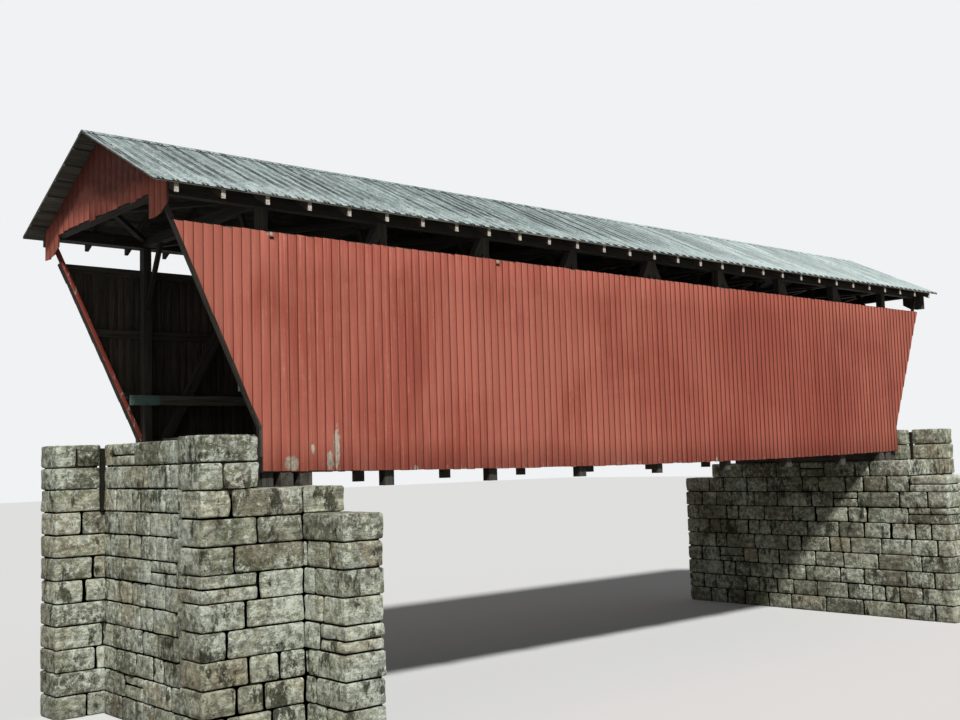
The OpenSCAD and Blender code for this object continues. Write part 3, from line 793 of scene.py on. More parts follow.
# %% Gable boards
GABLE_LOW = TOP_CHORD_Z + 0.058       # lower edge over the roadway
EAR_LOW, GABLE_HEAD = reach("right_gable_boards", 2)
EAR_Y = reach("right_gable_boards", 1)[1]
EAR_START = EAR_Y - EAR_WIDTH
EAR_BOARDS, HALF_BOARDS = 3, 8        # boards in an ear, and in each half between the ears
GABLE_TUCK, GABLE_DRIFT = 0.0145, 0.008
STRAY_SHARE = 0.2                     # share of the gable's boards whose foot is out of line


def gable_low(u, middle):
    """Lower edge of the gable. u is the place across, and middle is that of the board's middle."""
    if abs(middle) < EAR_START:
        return GABLE_LOW
    start = EAR_START if middle > 0 else -EAR_Y
    past = u - start - (EAR_WIDTH - EAR_CUT[0])
    return EAR_LOW + max(0.0, past / EAR_CUT[0]) * EAR_CUT[1]


def gable_rows(seed):
    """The boards of one gable, seen from outside."""
    rng = random.Random(seed)
    runs = [board_edges(rng, -EAR_Y, -EAR_START, EAR_BOARDS, JOINT_DRIFT),
            board_edges(rng, -EAR_START, 0, HALF_BOARDS, GABLE_DRIFT),
            board_edges(rng, 0, EAR_START, HALF_BOARDS, GABLE_DRIFT),
            board_edges(rng, EAR_START, EAR_Y, EAR_BOARDS, JOINT_DRIFT)]
    rows = []
    for run in runs:
        for a, b in zip(run, run[1:]):
            middle = (a + b) / 2
            b += 0.0 if b in (-EAR_START, EAR_START, EAR_Y) else BOARD_LAP
            foot = rng.uniform(-0.004, 0.014)
            if abs(middle) < EAR_START and rng.random() < STRAY_SHARE:
                foot += rng.uniform(-0.03, 0.03)
            head = [GABLE_HEAD - abs(u) * math.tan(ROOF_PITCH) - 0.002 for u in (a, b)]
            rows.append({"left": a, "right": b, "low_left": gable_low(a, middle) + foot,
                         "low_right": gable_low(b, middle) + foot, "high_left": head[0], "high_right": head[1],
                         "front": 0.0, "tuck": GABLE_TUCK, "thick": BOARD_THICK, "board": rng.random()})
    return rows


for (end, word), seed in zip(ENDS, (5, 6)):
    lay_boards(word + "_gable_cladding", gable_rows(seed), gable_red, [word + "_gable_boards"],
               ((0, end, 0), (-end, 0, 0), (0, 0, 1)), origin=(end * GABLE_FACE, 0, 0),
               chamfer=(0.012, 0.1, 0.002), rings=2)

# %% [markdown]
# ## Deck and runners
#
# Planks lie across the bridge, worn hollow between two strips of runner planks that take the wheels. The
# same tree lays both: only the directions change. Dust and fine gravel have settled in the gaps near the
# portals.

# %% Plank finish
def plank_finish(name, dark, light, lengthwise):
    """Worn planks with dust in the gaps. lengthwise is True where they run along the bridge."""
    s = Shading(name)
    board = s.attribute("board")
    stretch = (1.8, 60.0, 60.0) if lengthwise else (60.0, 1.8, 60.0)
    slow = (0.5, 11.0, 11.0) if lengthwise else (11.0, 0.5, 11.0)
    shift = s.vector("ADD", s.place, s.combine(board * 13.0, board * 29.0, 0.0))
    fibres = s.noise(s.vector("MULTIPLY", shift, stretch), detail=4.0, roughness=0.62)
    bands = s.noise(s.vector("MULTIPLY", shift, slow), detail=3.0, distortion=0.6)
    dust = s.noise(s.place, scale=2.2, detail=5.0, roughness=0.65)
    edge, depth, _ = s.split(s.attribute("blank", "Vector"))
    wood = s.blend(s.span(fibres * 0.5 + bands * 0.5, 0.34, 0.66), dark, light)
    wood = s.shade(wood, 0.72 + board * 0.56)
    portal = s.span(s.math("ABSOLUTE", s.x), 7.5, 10.2)
    settled = s.span(dust + portal * 0.12, 0.52, 0.72) * 0.6
    wood = s.blend(settled, wood, (0.34, 0.31, 0.25))
    rim = s.span(s.math("ABSOLUTE", edge - 0.5), 0.46, 0.5)
    wood = s.blend(rim * 0.7, wood, (0.03, 0.026, 0.021))
    wood = s.blend(s.span(depth, 0.3, 0.6) * 0.7, wood, dark)
    return s.close(wood, 0.85, fibres * 0.5 + bands * 0.5 - settled * 0.3, relief=0.006, strength=0.8, specular=0.2)


deck_finish = plank_finish("deck_planks_worn", (0.085, 0.075, 0.062), (0.3, 0.272, 0.228), False)
runner_finish = plank_finish("runner_planks_worn", (0.11, 0.098, 0.082), (0.38, 0.345, 0.29), True)
print("plank finishes made")

# %% [markdown]
# The deck is one row of planks over the whole length. A runner is four strips side by side, and along each
# strip the planks come in the lengths that timber is sold in, so their ends fall at different places.

# %% Planks
PLANK_COUNT, PLANK_THICK = 88, 0.07
RUNNER_MIDDLES, RUNNER_WIDTH, RUNNER_STRIPS, RUNNER_THICK = (-0.82, 0.82), 0.82, 4, 0.045
RUNNER_LENGTHS = [3.05, 3.66, 4.27, 4.88]
RUNNER_SHORTEST = 1.2    # a last plank that would be shorter is joined to the one before it
RUNNER_TOP = reach("runner_planks", 2)[1]


def plank_row(rng, start, end, count, low, high, thick, ragged=0.01):
    """A row of planks from start to end, each from low to high, with ends that are ragged by so much."""
    joints = board_edges(rng, start, end, count, 0.006)
    rows = []
    for a, b in zip(joints, joints[1:]):
        space = rng.uniform(0.002, 0.005)
        front = rng.uniform(0.0, 0.004)
        first, last = low + rng.uniform(0, ragged), high - rng.uniform(0, ragged)
        rows.append({"left": a + space, "right": b - space, "low_left": first, "low_right": first,
                     "high_left": last, "high_right": last, "front": front, "tuck": 0.0, "thick": thick - front,
                     "board": rng.random()})
    return rows


rng = random.Random(31)
deck_rows = plank_row(rng, -END_X, END_X, PLANK_COUNT, -DECK_Y, DECK_Y, PLANK_THICK)
lay_boards("deck_planking", deck_rows, deck_finish, ["deck_planks"],
           ((1, 0, 0), (0, 0, -1), (0, 1, 0)), origin=(0, 0, DECK_TOP), chamfer=(0.02, 0.06, 0.001))
runner_rows = []
for middle in RUNNER_MIDDLES:
    for strip in range(RUNNER_STRIPS):
        left = middle - RUNNER_WIDTH / 2 + strip * RUNNER_WIDTH / RUNNER_STRIPS
        right = left + RUNNER_WIDTH / RUNNER_STRIPS
        x = -END_X
        while x < END_X - 0.01:
            length = rng.choice(RUNNER_LENGTHS) if x > -END_X else rng.uniform(1.5, 4.6)
            far = x + length if END_X - x - length > RUNNER_SHORTEST else END_X
            runner_rows += plank_row(rng, left, right, 1, x, far, RUNNER_THICK, ragged=0.006)
            x = far
lay_boards("runner_planking", runner_rows, runner_finish, ["runner_planks"],
           ((0, -1, 0), (0, 0, -1), (1, 0, 0)), origin=(0, 0, RUNNER_TOP), warp=0.002, chamfer=(0.02, 0.08, 0.001))

# %% [markdown]
# ## Sheet roof
#
# The photo's roof has thin dark lines from ridge to eave, and at the eave dark notches in pairs, a pair
# every 0.25 m. That is sheet with double crimps: flat pans, and two sharp little folds side by side between
# them. The tree takes a flat grid for each sheet, pushes it up along the crimps, and lays each sheet with
# its edge over the next. A few centimetres of slip and a slight dent in each keep the row from looking
# machine made.

# %% The tree that lays sheets
STEPS = 14               # grid steps from one pair of crimps to the next
FIRST_CRIMP = 5 / 14     # place of the first crimp in a pitch
CRIMP_OUT = 1 / 7        # how far each crimp of a pair lies from the pair's middle, in pitches


def sheets_tree():
    g, given = geometry_tree("crimped_sheets", [
        ("Sheets", "Int", 40), ("Pairs", "Int", 8), ("Rows", "Int", 7), ("Length", "Float", 3.0),
        ("Start", "Float", 0.0), ("Width", "Float", 0.6), ("Lap", "Float", 0.07), ("Pitch", "Float", 0.25),
        ("Depth", "Float", 0.016), ("Fade", "Float", 0.0), ("Slide", "Float", 0.012), ("Dent", "Float", 0.003),
        ("Across", "Vector", (1.0, 0.0, 0.0)), ("Up slope", "Vector", (0.0, 1.0, 0.0)),
        ("Out", "Vector", (0.0, 0.0, 1.0)), ("Origin", "Vector", (0.0, 0.0, 0.0)), ("Seed", "Int", 0),
        ("Material", "Material", None)])
    one = g.node("GeometryNodeMeshGrid", {"Size X": 1.0, "Size Y": 1.0, "Vertices X": given["Pairs"] * STEPS + 6,
                                          "Vertices Y": given["Rows"]})
    line = g.node("GeometryNodeMeshLine", {"Count": given["Sheets"], "Offset": (0.0, 0.0, 0.0)})
    placed = g.node("GeometryNodeInstanceOnPoints", {"Points": line, "Instance": one})
    which = g.node("GeometryNodeInputIndex")
    placed = stored(g, placed, "sheet", which, "FLOAT", "INSTANCE")
    solid = g.node("GeometryNodeRealizeInstances", {"Geometry": placed})
    sx, sy, _ = g.split(g.node("GeometryNodeInputPosition"))
    s, t = sx + 0.5, sy + 0.5
    solid = stored(g, solid, "blank", g.combine(s, t, 0.0))
    sheet = named(g, "sheet")
    chance = g.hashed(g.combine(sheet, given["Seed"], 5.0))
    from_end = sheet * given["Width"] + s * (given["Width"] + given["Lap"])
    across = given["Start"] + from_end
    slid = chance * given["Slide"]
    rise = slid + (given["Length"] - slid) * t
    from_middle = g.math("ABSOLUTE", g.math("FRACT", from_end / given["Pitch"]) - 0.5)
    crimp = 1.0 - g.math("ABSOLUTE", from_middle - CRIMP_OUT) * float(STEPS)
    fold = (g.math("MAXIMUM", crimp, 0.0) - 0.5) * given["Depth"]
    fold = fold * (1.0 - given["Fade"] * t * t)
    dent = (g.noise(g.combine(across * 1.7, rise * 1.2, chance * 20.0), detail=2.0) - 0.5) * given["Dent"]
    lift = (s - 0.5) * 0.0016
    moved = moved_to(g, solid, given, (("Across", across), ("Up slope", rise), ("Out", fold + dent + lift)))
    return end_tree(g, moved, given["Material"])


SHEETS = sheets_tree()
print("tree", SHEETS.name, "has", len(SHEETS.nodes), "nodes")

# %% [markdown]
# Old galvanised sheet is dull grey with a green cast. Along the crimps, and between the two of a pair, it
# is darkened, partly dirt and partly painted shade in the folds, darker at some than at others, so from a
# distance the roof is all thin dark stripes. They fade towards the eave, where rain washes the sheets clean,
# and towards the right end, where the sheets are paler. At the eave each crimp ends in a dark notch of
# painted shade. The underside is painted nearly black, as painted shade.

# %% Galvanised finish
SHEET_END = ROOF_END - 0.002
PAIRS = 96                                            # pairs of crimps along the roof
PAIR_PITCH = 2 * SHEET_END / (PAIRS + FIRST_CRIMP)    # the last sheet ends past its last pair, as each sheet laps
LAP = PAIR_PITCH * 5 / 14


def sheet_finish(name, bright):
    """Weathered galvanised sheet, made lighter by bright."""
    s = Shading(name)
    sheet = s.hashed(s.combine(s.attribute("sheet"), 2.0, 0.0))
    across, up_slope, _ = s.split(s.attribute("blank", "Vector"))
    turn = (s.x + SHEET_END) / PAIR_PITCH
    from_middle = s.math("ABSOLUTE", s.math("FRACT", turn) - 0.5)
    from_crest = s.math("ABSOLUTE", from_middle - CRIMP_OUT)
    pair = s.hashed(s.combine(s.math("FLOOR", turn), s.math("SIGN", s.y), 4.0))
    streaks = s.noise(s.combine(s.x * 9.0, s.y * 0.7, s.z * 0.7), detail=5.0, roughness=0.68)
    broad = s.noise(s.combine(s.x * 1.3, s.y * 0.5, s.z * 0.5), detail=3.0)
    mottle = s.noise(s.place, scale=11.0, detail=5.0, roughness=0.7)
    spots = s.noise(s.place, scale=3.5, detail=6.0, roughness=0.72)
    pale = s.span(s.x + broad * 5.0, -2.0, 9.0)
    upper = s.span(s.math("ABSOLUTE", s.y) + spots * 0.6, 2.75, 2.1, 0.3, 1.0)
    metal = s.blend(pale, (0.225, 0.29, 0.28), (0.6, 0.69, 0.665))
    metal = s.shade(metal, 0.8 + sheet * 0.3 + bright)
    metal = s.blend(s.span(mottle * 0.5 + streaks * 0.5 - upper * 0.05, 0.42, 0.54), metal, (0.5, 0.58, 0.56))
    # Dark lines along the crimps and between the two of a pair: partly dirt and partly painted shade in the folds.
    lines = s.span(from_crest, 0.1, 0.06) * s.span(pair * 0.4 + streaks * 0.9, 0.42, 0.72) * upper
    metal = s.blend(lines * s.either(pale, 0.97, 0.3), metal, (0.03, 0.04, 0.037))
    between = s.span(from_middle, 0.13, 0.1) * s.span(pair, 0.72, 0.95) * upper
    metal = s.blend(between * s.either(pale, 0.45, 0.15), metal, (0.075, 0.095, 0.088))
    grime = s.span(streaks * 0.6 + broad * 0.4, 0.5, 0.62)
    metal = s.blend(grime * s.either(pale, 0.55, 0.25) * upper, metal, (0.08, 0.1, 0.094))
    metal = s.blend(s.span(mottle, 0.56, 0.72) * 0.45, metal, (0.14, 0.17, 0.15))
    thin = s.noise(s.combine(s.x * 30.0, s.y * 2.2, s.z * 2.2), detail=4.0, roughness=0.7)
    metal = s.blend(s.span(thin, 0.52, 0.64) * s.either(pale, 0.6, 0.25) * upper, metal, (0.07, 0.09, 0.083))
    metal = s.blend(s.span(thin, 0.46, 0.36) * s.either(pale, 0.5, 0.3), metal, (0.66, 0.76, 0.73))
    rust = s.span(spots + (s.span(across, 0.06, 0.0) + s.span(up_slope, 0.05, 0.0)) * 0.12, 0.69, 0.79)
    metal = s.blend(rust * 0.45, metal, (0.17, 0.1, 0.06))
    # Dark notches at the eave where each crimp opens: painted shade.
    ends = s.span(from_crest + up_slope * 3.5, 0.14, 0.11) * s.span(up_slope, 0.03, 0.026)
    metal = s.blend(ends, metal, (0.02, 0.022, 0.02))
    # Faces that point down are painted nearly black: painted shade.
    below = s.split(s.node("ShaderNodeNewGeometry", out="Normal"))[2] < 0.0
    under = s.blend(s.span(mottle, 0.35, 0.65), (0.035, 0.034, 0.03), (0.09, 0.087, 0.078))
    metal = s.blend(below, metal, under)
    height = mottle * 0.5 - grime * 0.2 + rust * 0.5
    return s.close(metal, s.span(grime + mottle * 0.3, 0.0, 1.0, 0.5, 0.8), height, relief=0.003, strength=0.7,
                   metallic=0.2, specular=0.4)


galvanised = sheet_finish("galvanised_sheet", 0.0)
cap_metal = sheet_finish("ridge_cap_sheet", 0.14)
print("a pair of crimps every", round(PAIR_PITCH, 3), "m")

# %% [markdown]
# The sheets lie just under the top of the CAD plate, so that no crimp stands past the model's box. Solidify
# gives them their thickness. Each sheet is three pairs of crimps wide and as long as the slope.

# %% Roof sheets
SHEET_DEPTH = 0.0165     # height of a crimp
SHEET_THICK = 0.0013
SHEET_LIFT, CAP_LIFT = -0.0105, 0.001    # height of the sheets' and the cap's middle over the top of the plate
SHEET_PAIRS, CAP_PAIRS = 3, 12           # pairs of crimps on one sheet, and on one length of cap
CAP_WIDTH = 0.175                        # width of the cap on one slope
COS, SIN = math.cos(ROOF_PITCH), math.sin(ROOF_PITCH)
SLOPE_LENGTH = EAVE_Y / COS
SHEET_TOP = reach("ridge_cap", 2)[1] - CAP_THICK / COS     # top of the sheets' layer over the ridge


def lay_sheets(name, side, pairs, inputs, material, replaces, lift):
    """Sheets on one slope. side is -1 for the near slope and 1 for the far one."""
    across, up_slope, out = (-side, 0, 0), (0, -side * COS, SIN), (0, side * SIN, COS)
    ridge = Vector((0, 0, SHEET_TOP)) + Vector(out) * lift
    origin = ridge - Vector(up_slope) * inputs["Length"]
    piece = run_tree(mesh_object(name, []), SHEETS, {
        **inputs, "Sheets": PAIRS // pairs, "Pairs": pairs, "Width": PAIR_PITCH * pairs, "Pitch": PAIR_PITCH,
        "Start": -SHEET_END, "Lap": LAP, "Depth": SHEET_DEPTH, "Across": across, "Up slope": up_slope, "Out": out,
        "Origin": tuple(origin), "Material": material},
        finish=[("SOLIDIFY", {"thickness": SHEET_THICK, "offset": -1.0})])
    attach(piece, "root")
    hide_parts(*replaces)
    print(name, len(piece.data.polygons), "faces")


for side, word in SIDES:
    lay_sheets(word + "_sheet_roof", side, SHEET_PAIRS, {
        "Rows": 9, "Length": SLOPE_LENGTH - 0.004, "Slide": 0.02, "Dent": 0.0015, "Seed": 3 + side},
        galvanised, [word + "_roof_sheets"], SHEET_LIFT)

# %% [markdown]
# The ridge is closed by a cap of flat sheet whose edges were beaten down over the crimps. The same tree
# makes it, with crimps that fade out towards the ridge, in long pieces that lap.

# %% Ridge cap
for side, word in SIDES:
    lay_sheets(word + "_ridge_cap", side, CAP_PAIRS, {
        "Rows": 5, "Length": CAP_WIDTH, "Fade": 1.0, "Slide": 0.012, "Dent": 0.003, "Seed": 8 + side},
        cap_metal, ["ridge_cap"], CAP_LIFT)

# %% [markdown]
# ## Stone abutments
#
# The bridge stands on walls of squared sandstone in courses about 0.42 m deep, laid without mortar that
# shows. Each course is a row of blocks of uneven length whose joints miss those of the course below. A
# block is a box with its faces split into a grid, its edges rounded, and its skin pushed in by noise in a
# geometry nodes tree.

# %% Block shapes
COURSE = 0.42    # height of a course
JOINT = 0.016    # widest gap that a block leaves to one neighbour
ARRIS = 0.045    # how far a block's edges are rounded
CELL = 0.13      # size of the grid on a block's faces
BLOCK_LENGTHS = [0.42, 0.55, 0.62, 0.75, 0.85, 0.98, 1.15]


def shell(counts):
    """Points on a box's skin, as whole steps along each edge, and its quads with outward faces."""
    index, points, quads = {}, [], []

    def point(*p):
        if p not in index:
            index[p] = len(points)
            points.append(p)
        return index[p]

    for axis in range(3):
        a, b = [(1, 2), (2, 0), (0, 1)][axis]
        for end in (0, counts[axis]):
            for i in range(counts[a]):
                for j in range(counts[b]):
                    ring = []
                    for di, dj in ((0, 0), (1, 0), (1, 1), (0, 1)):
                        p = [0, 0, 0]
                        p[axis], p[a], p[b] = end, i + di, j + dj
                        ring.append(point(*p))
                    quads.append(ring if end else ring[::-1])
    return np.array(points), np.array(quads)


SHELLS = {}


def block(low, high):
    """Points and quads of one rounded block between two corners."""
    low, high = np.array(low, float), np.array(high, float)
    size = high - low
    round_by = min(ARRIS, size.min() * 0.3)
    counts = tuple(int(np.clip(round(v / CELL), 1, 9)) + 2 for v in size)
    if counts not in SHELLS:
        SHELLS[counts] = shell(counts)
    steps, quads = SHELLS[counts]
    points = np.empty(steps.shape)
    for axis in range(3):
        inner = np.linspace(round_by, size[axis] - round_by, counts[axis] - 1)
        marks = np.concatenate([[0.0], inner, [size[axis]]])
        points[:, axis] = low[axis] + marks[steps[:, axis]]
    core = np.clip(points, low + round_by, high - round_by)
    out = points - core
    far = np.linalg.norm(out, axis=1, keepdims=True)
    return core + out / np.maximum(far, 1e-9) * round_by, quads


def course_joints(rng, start, end, below):
    """Joints along one course. Each keeps away from the joints of the course below."""
    for _ in range(60):
        joints, at = [start], start
        while True:
            at += rng.choice(BLOCK_LENGTHS) * rng.uniform(0.92, 1.08)
            if at > end - 0.3:
                break
            joints.append(at)
        joints.append(end)
        if all(abs(j - k) > 0.09 for j in joints[1:-1] for k in below):
            break
    return joints


print("one block has", len(block((0, 0, 0), (0.8, 0.6, COURSE))[1]), "faces")

# %% [markdown]
# The roughening tree pushes each point in along its normal. Two sizes of noise make the rock face, and each
# block has its own seed so no two are alike. Points move mostly level, so the beds stay flat and the
# courses true.

# %% The tree that roughens stone
def rough_tree():
    g, given = geometry_tree("rough_stone", [
        ("Depth", "Float", 0.11), ("Size", "Float", 3.4), ("Grit", "Float", 11.0), ("Material", "Material", None)])
    stone = named(g, "board")
    spot = g.vector("ADD", g.node("GeometryNodeInputPosition"), g.combine(stone * 53.0, stone * 31.0, stone * 17.0))
    pushed = g.noise(spot, scale=given["Size"], detail=2.0) * 0.7 + g.noise(spot, scale=given["Grit"]) * 0.3
    pushed = (pushed - 0.36) * given["Depth"] * (0.5 + stone)
    pushed = g.math("MAXIMUM", pushed, 0.0)
    normal = g.vector("MULTIPLY", g.node("GeometryNodeInputNormal"), (-1.0, -1.0, -0.25))
    moved = g.node("GeometryNodeSetPosition", {"Geometry": given["Geometry"], "Offset": g.scaled(normal, pushed)})
    return end_tree(g, moved, given["Material"])


ROUGH = rough_tree()
print("tree", ROUGH.name, "has", len(ROUGH.nodes), "nodes")

# %% [markdown]
# The sandstone has level beds, grit, pale lichen, black stains, and damp at its foot. The number board is
# the stone's own here, so that no two stones share a tone or a pattern.

# %% Sandstone finish
def stone_finish():
    s = Shading("sandstone")
    stone = s.attribute("board")
    shift = s.vector("ADD", s.place, s.combine(stone * 19.0, stone * 7.0, stone * 13.0))
    beds = s.noise(s.vector("MULTIPLY", shift, (1.2, 1.2, 9.0)), detail=4.0, roughness=0.6)
    grain = s.noise(shift, scale=30.0, detail=4.0, roughness=0.7)
    blotch = s.noise(shift, scale=3.0, detail=5.0, roughness=0.7)
    rock = s.blend(s.span(beds * 0.45 + blotch * 0.55, 0.38, 0.62), (0.2, 0.2, 0.14), (0.5, 0.5, 0.38))
    rock = s.blend(s.span(s.hashed(s.combine(stone, 5.0, 0.0)), 0.8, 0.86) * 0.5, rock, (0.4, 0.33, 0.22))
    rock = s.shade(rock, 0.6 + stone * 0.75)
    rock = s.blend(s.span(grain, 0.5, 0.7) * 0.5, rock, (0.04, 0.04, 0.022))
    green = s.noise(s.place, scale=1.6, detail=6.0, roughness=0.7)
    rock = s.blend(s.span(green + beds * 0.12, 0.55, 0.7) * 0.5, rock, (0.13, 0.16, 0.07))
    lichen = s.noise(shift, scale=9.0, detail=8.0, roughness=0.78)
    patchy = s.noise(s.place, scale=0.8, detail=3.0)
    rock = s.blend(s.span(lichen + patchy * 0.6, 0.79, 0.86) * 0.8, rock, (0.62, 0.66, 0.56))
    stain = s.noise(s.vector("MULTIPLY", s.place, (3.2, 3.2, 1.6)), detail=6.0, roughness=0.72)
    rock = s.blend(s.span(stain, 0.55, 0.62) * 0.85, rock, (0.032, 0.033, 0.018))
    damp = s.span(s.z + blotch * 1.4, 1.4, 0.3)
    rock = s.blend(damp * 0.55, rock, (0.06, 0.062, 0.038))
    chips = s.noise(shift, scale=7.0, detail=6.0, roughness=0.75)
    rock = s.shade(rock, s.span(chips, 0.38, 0.6, 0.7, 1.5))
    height = beds * 0.4 + grain * 0.35 + blotch * 0.6 + chips
    return s.close(rock, 0.92, height, relief=0.07, strength=1.0, specular=0.12)


sandstone = stone_finish()
# Near-black fill behind the stones: painted shade in the open joints.
s = Shading("joint_earth")
fill_colour_and_shade = s.blend(s.noise(s.place, scale=20.0), (0.006, 0.006, 0.004), (0.03, 0.028, 0.02))
joint_earth = s.close(fill_colour_and_shade, 1.0, specular=0.1)
print("stone finishes made")

# %% [markdown]
# A wall is given by its boxes: where its stones run, in courses, and which way. The courses of the bridge
# seat run on over the wings without a break, so one object holds all the stones of an abutment. Some stones
# are split in two, low on high, and each stands a little back or forward. A core coloured near black stands
# inside the faces and reaches from wall to wall: painted shade, so the open joints read as deep.

# %% Masonry walls
SPLIT_CHANCE, SPLIT_LENGTH = 0.08, 0.6    # how often a stone is split in two, and the least length of one that is
BED_GAP = 0.01                            # half the gap between its two halves


def stone_walls(name, seed, sections, nodes):
    """All the stones of one abutment. sections are (low corner, high corner, axis of the course)."""
    rng = random.Random(seed)
    points, quads, numbers, count = [], [], [], 0
    for low, high, axis in sections:
        below = []
        courses = round((high[2] - low[2]) / COURSE)
        for k in range(courses):
            joints = course_joints(rng, low[axis], high[axis], below)
            below = joints[1:-1]
            z0, z1 = low[2] + k * COURSE, low[2] + (k + 1) * COURSE
            for a, b in zip(joints, joints[1:]):
                first, last = list(low), list(high)
                first[axis] = a + (JOINT * rng.uniform(0.3, 1.0) if a > low[axis] else 0)
                last[axis] = b - (JOINT * rng.uniform(0.3, 1.0) if b < high[axis] else 0)
                first[1 - axis] += rng.uniform(0.0, 0.02)
                last[1 - axis] -= rng.uniform(0.0, 0.02)
                first[2] = z0 + (JOINT * rng.uniform(0.2, 0.9) if k or low[2] else 0)
                last[2] = z1 - (JOINT * rng.uniform(0.2, 0.9) if k < courses - 1 else 0)
                beds = [(first[2], last[2])]
                if rng.random() < SPLIT_CHANCE and b - a > SPLIT_LENGTH:
                    split = z0 + COURSE * rng.uniform(0.38, 0.6)
                    beds = [(first[2], split - BED_GAP), (split + BED_GAP, last[2])]
                for bottom, top in beds:
                    first[2], last[2] = bottom, top
                    p, q = block(first, last)
                    points.append(p)
                    quads.append(q + count)
                    numbers.append(np.full(len(p), rng.random()))
                    count += len(p)
    blocks = mesh_object(name, np.concatenate(points).tolist(), np.concatenate(quads).tolist())
    mesh = blocks.data
    mesh.attributes.new("board", "FLOAT", "POINT").data.foreach_set("value", np.concatenate(numbers))
    mesh.polygons.foreach_set("use_smooth", np.ones(len(mesh.polygons), bool))
    piece = run_tree(blocks, ROUGH, {"Material": sandstone})
    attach(piece, "root")
    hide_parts(*nodes)
    print(name, len(numbers), "blocks,", len(piece.data.polygons), "faces")


def core_boxes(name, boxes):
    """The filling behind the joints, coloured near black as painted shade."""
    verts, faces = [], []
    for low, high in boxes:
        base = len(verts)
        verts += [(x, y, z) for z in (low[2], high[2]) for y in (low[1], high[1]) for x in (low[0], high[0])]
        faces += [[base + i for i in f] for f in ((0, 2, 3, 1), (4, 5, 7, 6), (0, 1, 5, 4), (2, 6, 7, 3),
                                                  (0, 4, 6, 2), (1, 3, 7, 5))]
    piece = link(mesh_object(name, verts, faces))
    piece.data.materials.append(joint_earth)
    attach(piece, "root")
    print(name, len(boxes), "boxes")


# %% [markdown]
# The bridge is alike at both ends and on both sides, so each box is drawn once, for the right end and the
# far side, and mirrored gives it for the others. Only the corners of the box change places, so nothing is
# turned inside out.

# %% The abutments
def mirrored(box, end, side):
    """A box drawn for the right end and the far side, turned to the end and side asked for."""
    (x0, y0, z0), (x1, y1, z1) = box
    return ((min(x0 * end, x1 * end), min(y0 * side, y1 * side), z0),
            (max(x0 * end, x1 * end), max(y0 * side, y1 * side), z1))


BREAST_X, BACK_X = reach("right_breast_wall", 0)
BACK_END = reach("right_back_wall", 0)[1]
BACK_TOP = reach("right_back_wall", 2)[1]
SEAT_Z = reach("right_breast_wall", 2)[1]
WING_Y, WING_OUT = reach("right_far_wing", 1)
WALL_THICK = 0.8
RETURN_Y = WING_Y + WALL_THICK     # outer face of the return walls
FRONT_X = BREAST_X + WALL_THICK    # back of the wing walls
RETURN_END = reach("right_far_wing", 0)[1]
WING_TOP = SEAT_Z - COURSE
CORE = 0.07                        # how far the core stands inside the faces


def filling(x0, x1, y0, y1, top):
    """The core of a wall whose faces lie at these places."""
    return (x0 + CORE, y0 + CORE, 0), (x1 - CORE, y1 - CORE, top - CORE)


for end, word in ENDS:
    walls = [(((BREAST_X, -WING_OUT, 0), (FRONT_X, WING_OUT, WING_TOP)), 1, 1),
             (((BREAST_X, -RETURN_Y, WING_TOP), (FRONT_X, RETURN_Y, SEAT_Z)), 1, 1),
             (((FRONT_X, -WING_Y, WING_TOP), (BACK_X, WING_Y, SEAT_Z)), 1, 1),
             (((BACK_X, -WING_Y, 0), (BACK_END, WING_Y, BACK_TOP)), 1, 1)]
    inner = [mirrored(box, end, 1) for box in (
        filling(BREAST_X, FRONT_X, -WING_OUT, WING_OUT, WING_TOP),
        filling(BREAST_X, BACK_END, -RETURN_Y, RETURN_Y, SEAT_Z),
        filling(BACK_X, BACK_END, -WING_Y, WING_Y, BACK_TOP))]
    for side in (-1, 1):
        walls += [(((FRONT_X, WING_Y, 0), (RETURN_END, RETURN_Y, SEAT_Z)), 0, side),
                  (((BACK_END, WING_Y, SEAT_Z), (RETURN_END, RETURN_Y, BACK_TOP)), 0, side)]
        inner += [mirrored(box, end, side) for box in (
            filling(BREAST_X, RETURN_END, WING_Y, RETURN_Y, SEAT_Z),
            filling(BACK_END, RETURN_END, WING_Y, RETURN_Y, BACK_TOP),
            ((BACK_END - ARRIS, WING_Y - ARRIS, WING_TOP), (BACK_END + ARRIS, WING_Y + ARRIS, BACK_TOP - CORE)))]
    sections = [(*mirrored(box, end, side), axis) for box, axis, side in walls]
    stone_walls(word + "_abutment_stones", 50 + end, sections, [
        f"{word}_{part}" for part in ("breast_wall", "back_wall", "near_wing", "far_wing")])
    core_boxes(word + "_abutment_core", inner)

# %% [markdown]
# ## Nails and bolts
#
# Heads of nails hold the boards and the sheets, and bolts tie the chords to the posts. Each row of places
# becomes a mesh of single points, and a small tree puts a low cone on every point and turns it to face out
# of its board.

# %% Heads on points
def heads_tree():
    g, given = geometry_tree("heads_on_points", [
        ("Sides", "Int", 8), ("Radius", "Float", 0.006), ("Height", "Float", 0.003),
        ("Turn", "Vector", (0.0, 0.0, 0.0)), ("Material", "Material", None)])
    head = g.node("GeometryNodeMeshCone", {"Vertices": given["Sides"], "Radius Top": given["Radius"] * 0.6,
                                           "Radius Bottom": given["Radius"], "Depth": given["Height"]}, out="Mesh")
    placed = g.node("GeometryNodeInstanceOnPoints", {"Points": given["Geometry"], "Instance": head,
                                                     "Rotation": given["Turn"]})
    return end_tree(g, placed, given["Material"])


HEADS = heads_tree()
s = Shading("rusty_iron")
scale = s.noise(s.place, scale=70.0, detail=4.0, roughness=0.7)
rust = s.blend(s.span(scale, 0.4, 0.62), (0.035, 0.026, 0.02), (0.13, 0.065, 0.035))
rusty_iron = s.close(rust, 0.8, scale, relief=0.002, strength=0.6)


